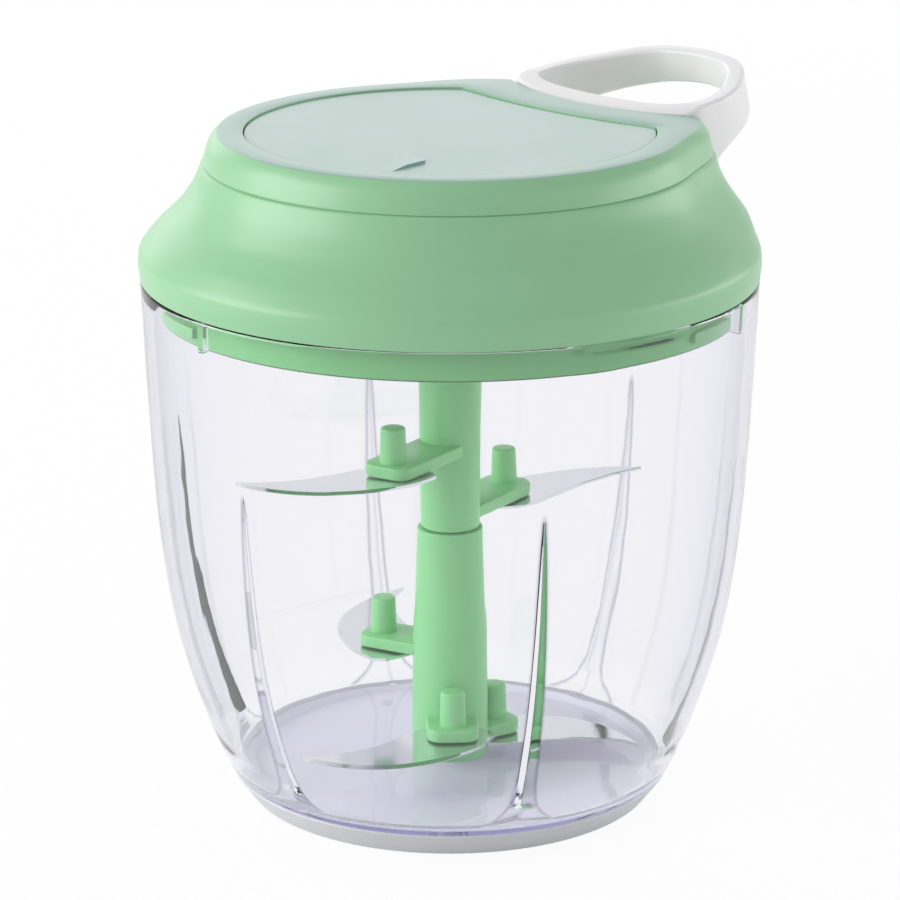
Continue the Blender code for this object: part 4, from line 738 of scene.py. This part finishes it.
radius = SPRING_START + (SPRING_END - SPRING_START) * turns / SPRING_TURNS + ribbon[None, :, 0]
angle = 2 * math.pi * turns
level = np.broadcast_to(ribbon[None, :, 1], radius.shape)
coiled = capped(np.stack([radius * np.cos(angle), radius * np.sin(angle), level], -1))
blued = Finish("spring_steel_skin", (0.52, 0.53, 0.58), 0.32, Metallic=1.0)
blued.set({"Base Color": blued.tint((0.46, 0.48, 0.55), (0.58, 0.585, 0.62), blued.noise(400.0))})
blued.set({"Roughness": 0.26 + blued.noise(1200.0, 3.0, (1.0, 1.0, 0.1)) * 0.14})
piece("spiral_spring", [coiled], blued, "spool")


# Cord
# Three-strand white cord, one millimetre in radius: three turns on the drum, then out through the eyelet
# to a bead in the handle. The length between lid and handle draws out with the pull.
def rope(path, radius=1.0, lay=5.0):
    """Cord along points: its rings stand square to the path, with three lobes that turn once every lay."""
    path = np.asarray(path, float)
    way = np.gradient(path, axis=0)
    way /= np.linalg.norm(way, axis=1)[:, None]
    step = np.linalg.norm(np.diff(path, axis=0), axis=1)
    along = np.concatenate([[0], np.cumsum(step)])
    side = np.cross(way, [0, 0, 1.0])
    side /= np.linalg.norm(side, axis=1)[:, None]
    up = np.cross(side, way)
    around = np.linspace(0, 2 * math.pi, 19)[:-1]
    lobes = 0.92 + 0.08 * np.abs(np.cos(1.5 * (around[None, :] - 2 * math.pi * along[:, None] / lay)))
    size = (radius * lobes)[..., None]
    around = around[None, :, None]
    rings = path[:, None] + size * (np.cos(around) * side[:, None] + np.sin(around) * up[:, None])
    ends = [np.broadcast_to(path[row], rings[0].shape)[None] for row in (0, -1)]
    return np.concatenate([ends[0], rings, ends[1]])


twine = Finish("cord_skin", (0.76, 0.76, 0.74), 0.8, Sheen_Weight=0.25)
twine.set({"Base Color": twine.tint((0.66, 0.66, 0.64), (0.80, 0.80, 0.78), twine.noise(2500.0, 2.0))})
twine.set({"Normal": twine.bump(twine.noise(5000.0, 2.0), 0.00008)})
CORD_HEIGHT = 128.225
CORD_TURNS = 3
CORD_PITCH = 2.45
WINDING_RADIUS = 23.0
WINDING_TOP = 131.9
LEAVES_AT = math.radians(-43.3)
turn = np.linspace(0, CORD_TURNS, CORD_TURNS * 150 + 1)
angle = LEAVES_AT - 2 * math.pi * turn
coil = [WINDING_RADIUS * np.cos(angle), WINDING_RADIUS * np.sin(angle), WINDING_TOP - CORD_PITCH * turn]
coil = np.stack(coil, -1)
piece("cord_winding", [rope(coil)], twine, "spool")
corner = np.array([31.6, 0.0, CORD_HEIGHT])
flatwise = (corner - coil[0]) * [1, 1, 0]
flatwise /= np.linalg.norm(flatwise)
leave = coil[0] + flatwise * 0.9
before, after = corner - flatwise * 4.0, corner + np.array([4.0, 0, 0])
t = np.linspace(0, 1, 25)[:, None]
run = leave + (before - leave) * t
run[:, 2] = WINDING_TOP - (WINDING_TOP - CORD_HEIGHT) * rise(t[:, 0], 0.45, 1.0)
curve = (1 - t) ** 2 * before + 2 * t * (1 - t) * corner + t**2 * after
straight = after + (np.array([40.2, 0.0, CORD_HEIGHT]) - after) * t
way_out = np.concatenate([run[:-1], curve[:-1], straight])
lead = piece("cord_lead", [rope(way_out)], twine, None)
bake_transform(lead)


def laid(grid, x):
    """Grid turned about Z, laid so that its axis points along +X at the cord's height."""
    return np.stack([grid[..., 2] + x, grid[..., 1], CORD_HEIGHT - grid[..., 0]], -1)


BEAD_RADIUS = 1.7
bead = np.linspace(-math.pi / 2, math.pi / 2, 25)
bead_profile = BEAD_RADIUS * np.stack([np.cos(bead), np.sin(bead)], -1)
bead_profile[[0, -1], 0] = 0
piece("cord_stop", [laid(turned(bead_profile, np.arange(0, 360, 10)), 42.1)], steel, "handle")


# Lid cover
# Outer half of the lid, moulded in green: a flared side with a crease, a deep place at the back for the
# handle between two horns, a sunk top for the plate, and posts inside for the screws and the spring.
LID_WALL = 2.1
LIP_FOOT, LIP_TOP = 109.2, 110.3
CREASE_LEVEL = 132.05
SINK_LEVEL, LID_TOP = 136.8, 138.3
CEILING = 135.0
SIDE_LOW = np.array([
    # height, radius, swell of the horns
    (LIP_TOP, 62.25, 0.0), (111.42, 62.45, 0.0), (113.6, 62.42, 0.0), (114.7, 62.25, 0.0),
    (115.3, 61.9, 0.06), (116.04, 61.36, 0.12), (117.86, 59.88, 0.35), (118.7, 59.1, 0.47),
    (119.96, 57.75, 0.66), (122.62, 55.0, 0.86), (124.02, 53.88, 0.88), (127.94, 51.31, 0.93),
    (131.86, 49.69, 1.0),
])
SIDE_HIGH = np.array([
    # height, radius, reach of the horns' tips
    (132.28, 49.25, 0.0), (134.4, 48.75, 0.0), (136.2, 48.15, 0.0), (137.2, 47.5, 0.1),
    (137.9, 46.85, 0.15), (138.2, 46.5, 0.15), (LID_TOP, 46.2, 0.1),
])
horn, horn_back = np.arange(28, 37.2, 0.15), np.arange(38, 44, 0.3)
lid_columns = [np.arange(0, 360, 1.25), horn, 360 - horn, horn_back, 360 - horn_back]
lid_columns = np.unique(np.concatenate([*lid_columns, np.arange(-6, 6.1, 0.3) % 360]))
bearing_of = (lid_columns + 180) % 360 - 180
fade = 0.5 + 0.5 * np.cos(math.pi * np.clip((np.abs(bearing_of) - 32) / 30, 0, 1))
tip = np.exp(-(((np.abs(bearing_of) - 26) / 6) ** 2))


def lid_side(level):
    """Outer radius at heights, a column for each azimuth: the side's curve, the horns' swell and tips."""
    level = np.asarray(level, float)
    low = level <= 132.0
    low_radius, high_radius = (eased(level, side[:, 0], side[:, 1]) for side in (SIDE_LOW, SIDE_HIGH))
    radius = np.where(low, low_radius, high_radius)
    swell = np.where(low, eased(level, SIDE_LOW[:, 0], SIDE_LOW[:, 2]), 1.0)
    reach = np.where(low, 0.0, eased(level, SIDE_HIGH[:, 0], SIDE_HIGH[:, 2]))
    return radius[:, None] + 4.5 * swell[:, None] * fade[None, :] + 3.0 * reach[:, None] * tip[None, :]


def to_circle(centre, radius):
    """Distance from the axis to a circle that is centred on +X, and far away where a ray misses it."""
    angle = np.radians(bearing_of)
    under = radius**2 - (centre * np.sin(angle)) ** 2
    hit = (under > 0) & (np.cos(angle) > 0)
    return np.where(hit, centre * np.cos(angle) - np.sqrt(np.maximum(under, 0)), 400.0)


def least(one, other, blend_width):
    """Lesser of two values, rounded over where they are close."""
    near = np.maximum(blend_width - np.abs(one - other), 0)
    return np.minimum(one, other) - near**2 / (4 * blend_width)


def side_wall(level, inset=0.0):
    """Radius of the side at one height, where the handle's recess may cut in, drawn in by an inset."""
    return least(lid_side([level])[0] - inset, recess - inset, 1.0)


recess = to_circle(93.7, 56.0)
plate_edge = least(np.full(len(bearing_of), 41.2), to_circle(164.4, 136.0), 1.6)
in_recess = np.clip((lid_side([122.6])[0] - recess) / 1.2, 0, 1)
rows = []


def row(radius, level):
    """Adds one ring of the lid's skin; both may change with the azimuth."""
    spread = np.zeros(len(bearing_of))
    rows.append((radius + spread, level + spread))


lip = lid_side([LIP_TOP])[0]
for inset, level in ((0.52, LIP_FOOT + 0.1), (0.4, LIP_FOOT), (0.15, LIP_FOOT), (0.02, LIP_FOOT + 0.15)):
    row(lip - inset, level)
for level in [LIP_TOP, 110.6, 111.0, *np.linspace(111.6, 122.2, 30)]:
    row(lid_side([level])[0], level)
for share, level in ((0.05, 122.45), (0.35, 122.6)):
    row(lid_side([level])[0] - share * in_recess, level)
high_levels = [*np.linspace(122.6, 131.2, 14), 131.6, 131.86, 131.95, 132.1, 132.28, 132.4, 132.8]
for level in [*high_levels, *np.linspace(133.4, 136.6, 7)]:
    groove = 0.22 * math.exp(-(((level - CREASE_LEVEL) / 0.16) ** 2))
    row(least(lid_side([level])[0] - groove, recess, 1.0), level)
for level in LID_TOP - 1.7 * (1 - np.sin(np.linspace(0, math.pi / 2, 12))):
    drawn = 0.6 * (1 - math.sqrt(max(1 - max((level - LID_TOP + 0.6) / 0.6, 0) ** 2, 0)))
    row(least(lid_side([level])[0], recess - drawn, 1.0), level)
row(0.5 * rows[-1][0] + 0.5 * plate_edge, LID_TOP)
for outset, drop in ((0.16, 0.0), (0.04, 0.04), (0.0, 0.16), (0.0, 1.4), (-0.1, 1.5)):
    row(plate_edge + outset, LID_TOP - drop)
row(0.5 * plate_edge, SINK_LEVEL)
row(0.0, SINK_LEVEL)
row(0.0, CEILING)
row(20.0, CEILING)
row(side_wall(CEILING - 0.1, LID_WALL) - 0.4, CEILING)
for level in np.linspace(CEILING - 0.3, 120.5, 16):
    row(side_wall(level, LID_WALL), level)
for level in np.linspace(120.5, 111.0, 12):
    row(lid_side([level])[0] - LID_WALL, level)
inner_lip = ((LID_WALL, LIP_TOP + 0.15), (1.9, LIP_TOP), (0.6, LIP_TOP), (0.52, LIP_TOP - 0.1))
for inset, level in (*inner_lip, (0.52, LIP_FOOT + 0.1)):
    row(lip - inset, level)


def shaped(radii, levels):
    """Grid of rings on the lid's azimuths, from a radius and a height for each point."""
    angle = np.radians(bearing_of)[None, :]
    return np.stack([radii * np.cos(angle), radii * np.sin(angle), levels], -1)


radii, levels = zip(*rows)
grids = [shaped(np.stack(radii), np.stack(levels))]
SCREWS = [(25.02, 29.82), (-25.02, 29.82), (-25.02, -29.82), (25.02, -29.82)]
boss = tube([(1.7, 107.7), (3.2, 107.7), (3.2, 135.3), (1.7, 135.3)], [0.1, 0.4, 0, 0])
for x, y in SCREWS:
    grids.append(placed(turned(boss, np.arange(0, 360, 12)), x=x, y=y))
arbor = tube([(1.8, 120.4), (4.6, 120.4), (4.6, 135.3), (1.8, 135.3)], [0.1, 0.5, 0, 0])
grids.append(turned(arbor, np.arange(0, 360, 8)))
# Painted reflection: the cover's top ring is painted pale grey green like the plate, standing in for the
# sheen that the lamps give its green plastic.
painted_sheen_top = ((0.27, 0.425, 0.365), 0.1381, 0.13828)
shell = moulded("lid_shell_skin", (0.255, 0.51, 0.28), (0.28, 0.54, 0.305), 0.34, painted_sheen_top)
cover = piece("lid_cover", grids, shell, "lid", crease=40.0)
cord_way = turned(np.array([(0, 0.0), (2.2, 0.0), (2.2, 6.0), (0, 6.0)]), np.arange(0, 360, 10))
cut(cover, laid(cord_way, 33.5))


# Top plate
# Thin glossy disc moulded in pale green and glued into the lid's sunk top. It is cut along a shallow arc
# beside the handle, and a small raised wedge on it points along the way that the lid turns.
PLATE_FOOT, PLATE_TOP = 137.1, 137.95
PLATE_GAP = 0.36
PLATE_PROFILE = np.array([
    # distance past the edge, height, and the share of the chord's fall
    (-1.0, PLATE_FOOT, 0), (0.0, PLATE_FOOT, 0), (0.1, 137.15, 0), (0.12, 137.75, 1), (0.08, 137.89, 1),
    (-0.06, PLATE_TOP, 1), (-1.0, PLATE_TOP, 0), (-1.2, PLATE_TOP, 0), (-3.0, PLATE_TOP, 0),
])
chord = rise(41.2 - plate_edge, 0.0, 1.0)
middle = np.zeros((1, len(plate_edge)))
radius = np.concatenate([middle, plate_edge - PLATE_GAP + PLATE_PROFILE[:, :1], middle])
level = PLATE_PROFILE[:, 1:2] - 0.2 * chord * PLATE_PROFILE[:, 2:]
level = np.concatenate([middle + PLATE_FOOT, level, middle + PLATE_TOP])
POINTER_PLAN = np.array([
    (-33.6, -18.2), (-29.0, -17.6), (-23.6, -17.1), (-20.2, -9.2), (-17.0, -1.6), (-25.3, -9.9),
])
POINTER_TOP = PLATE_TOP + np.array([0.02, 0.55, 0.5, 0.25, 0.02, 0.02])
POINTER_FOOT = np.full(6, PLATE_TOP - 0.25)
centre = POINTER_PLAN.mean(0)
rings = []
for share, height in (
    (0.0, POINTER_FOOT), (1.0, POINTER_FOOT), (1.0, POINTER_TOP), (0.96, POINTER_TOP),
    (0.0, np.full(6, POINTER_TOP.mean())),
):
    rings.append(np.column_stack([centre + (POINTER_PLAN - centre) * share, height]))
gloss = Finish("plate_plastic_skin", (0.26, 0.41, 0.36), 0.3)
gloss.set({"Base Color": gloss.tint((0.25, 0.40, 0.35), (0.275, 0.425, 0.37), gloss.noise(30.0))})
gloss.set({"Roughness": 0.28 + gloss.noise(70.0, 4.0) * 0.06})
gloss.set({"Normal": gloss.bump(gloss.noise(900.0, 2.0), 0.000012)})
piece("top_plate", [shaped(radius, level), np.stack(rings)], gloss, "lid")


# Eyelet and screws
# A flanged eyelet pressed from steel lines the cord's hole, and four pan head steel screws with crossed
# slots hold the lid's halves together from below.
eyelet_corners = [(1.3, -0.8), (3.0, -0.8), (3.0, 0.0), (1.9, 0.0), (1.9, 1.8), (1.3, 1.8)]
eyelet_ring = turned(tube(eyelet_corners, [0.35, 0.3, 0.2, 0.1, 0.2, 0.25]), np.arange(0, 360, 10))
piece("cord_eyelet", [laid(eyelet_ring, 35.3)], steel, "lid")
screw_corners = [(0, 103.8), (2.8, 103.8), (2.8, 105.3), (1.4, 105.3), (1.4, 115.7), (0, 117.1)]
screw = turned(rounded(screw_corners, [0, 0.8, 0.1, 0.1, 0.3, 0]), np.arange(0, 360, 12))
slot_bar = slab(np.array([(-1.7, -0.3), (1.7, -0.3), (1.7, 0.3), (-1.7, 0.3)]), 103.0, 104.7, 0.02)
for number, (x, y) in enumerate(SCREWS, 1):
    made = piece(f"lid_screw_{number}", [placed(screw, x=x, y=y)], steel, "lid")
    for turn in (0, 90):
        cut(made, placed(placed(slot_bar, turn), x=x, y=y))


# Pull handle
# Pale loop moulded in one piece, which nests against the lid's recess. Its bar holds the cord's bead, and
# the far end rises a little so that fingers get under it.
HANDLE_BACK, HANDLE_TIP = 38.1, 77.9
HANDLE_WAY = np.array([
    # foot of the outer wall x, y and of the inner wall x, y, from the middle of the bar round to the tip
    (HANDLE_BACK, 0.0, 43.6, 0.0), (38.68, 8.0, 43.8, 7.0), (40.16, 15.0, 44.3, 13.0),
    (41.82, 20.0, 45.2, 17.4), (43.08, 23.0, 46.0, 19.4), (44.35, 24.95, 46.9, 20.6),
    (46.0, 25.45, 48.0, 21.2), (48.6, 25.5, 49.6, 21.4), (51.5, 25.35, 51.9, 21.4),
    (55.4, 24.9, 54.9, 21.3), (60.76, 23.4, 60.0, 20.3), (65.7, 20.9, 64.6, 18.3),
    (69.6, 18.2, 68.1, 16.2), (72.7, 15.2, 70.9, 13.4), (75.3, 11.2, 73.2, 9.9),
    (77.0, 6.4, 74.4, 5.7), (HANDLE_TIP, 0.0, 75.1, 0.0),
])
HANDLE_RISE = np.array([
    # share of the length, shares of the rise of the top and of the underside
    (0.0, 0.0, 0.0), (0.1, 0.115, 0.0), (0.156, 0.2, 0.0), (0.2, 0.29, 0.03), (0.29, 0.35, 0.093),
    (0.34, 0.375, 0.3), (0.437, 0.44, 0.485), (0.534, 0.52, 0.59), (0.675, 0.66, 0.69), (0.8, 0.81, 0.79),
    (0.9, 0.925, 0.88), (1.0, 1.0, 1.0),
])
loop = np.concatenate([HANDLE_WAY, HANDLE_WAY[-2:0:-1] * [1, -1, 1, -1]])
once = len(loop)
loop = np.concatenate([loop, loop, loop, loop[:1]])
along = np.concatenate([[0], np.cumsum(np.linalg.norm(np.diff(loop, axis=0), axis=1))])
at = np.linspace(along[once], along[2 * once], 301)
outer_x, outer_y, inner_x, inner_y = (eased(at, along, loop[:, column]) for column in range(4))


def handle_levels(x):
    """Heights of the handle's top and underside at a place along X."""
    share = np.clip((x - HANDLE_BACK) / (HANDLE_TIP - HANDLE_BACK), 0, 1)
    top = 138.0 + 6.2 * eased(share, HANDLE_RISE[:, 0], HANDLE_RISE[:, 1])
    return top, 123.0 + 13.4 * eased(share, HANDLE_RISE[:, 0], HANDLE_RISE[:, 2])


width = np.hypot(inner_x - outer_x, inner_y - outer_y)[:, None]
turn = np.linspace(0, math.pi / 2, 7)
CORNER_OUT, CORNER_IN = 0.9, 0.7
outer_lean = 1.3 * rise(outer_x, 52.0, 70.0)[:, None]
inner_lean = 2.4 * rise(outer_x, 50.0, 70.0)[:, None]
bent, straight_on = 1 - np.cos(turn), 1 - np.sin(turn)
quarters = [
    # across from its side, how far that side leans, side of the loop, up from its face, 1 for the top face
    (CORNER_OUT * straight_on, 0 * outer_lean, 0, CORNER_OUT * bent, 0),
    (CORNER_OUT * bent, outer_lean, 0, -CORNER_OUT * straight_on, 1),
    (-CORNER_IN * straight_on, inner_lean, 1, -CORNER_IN * bent, 1),
    (-CORNER_IN * bent, 0 * inner_lean, 1, CORNER_IN * straight_on, 0),
]
offs, leans, sides, lifts, faces = zip(*quarters)
part = [off[None, :] + lean + side * width for off, lean, side in zip(offs, leans, sides)]
part = np.concatenate(part, 1) / width
lift = np.concatenate(lifts)[None, :]
on_top = np.repeat(faces, len(turn))[None, :]
outer_top, outer_low = handle_levels(outer_x)
inner_top, inner_low = handle_levels(inner_x)
inner_low = inner_low + 1.4
top = outer_top[:, None] + (inner_top - outer_top)[:, None] * part
low = outer_low[:, None] + (inner_low - outer_low)[:, None] * part
x = outer_x[:, None] + (inner_x - outer_x)[:, None] * part
y = outer_y[:, None] + (inner_y - outer_y)[:, None] * part
grid = np.stack([x, y, np.where(on_top == 1, top, low) + lift], -1)
grip = moulded("handle_plastic_skin", (0.78, 0.765, 0.775), (0.80, 0.785, 0.785), 0.36)
handle = piece("pull_handle", [grid], grip, "handle")
cord_hole = turned(np.array([(0, 0.0), (1.3, 0.0), (1.3, 9.0), (0, 9.0)]), np.arange(0, 360, 12))
bead_pocket = turned(np.array([(0, 0.0), (2.0, 0.0), (2.0, 9.0), (0, 9.0)]), np.arange(0, 360, 12))
cut(handle, laid(cord_hole, 36.0))
cut(handle, laid(bead_pocket, 40.1))
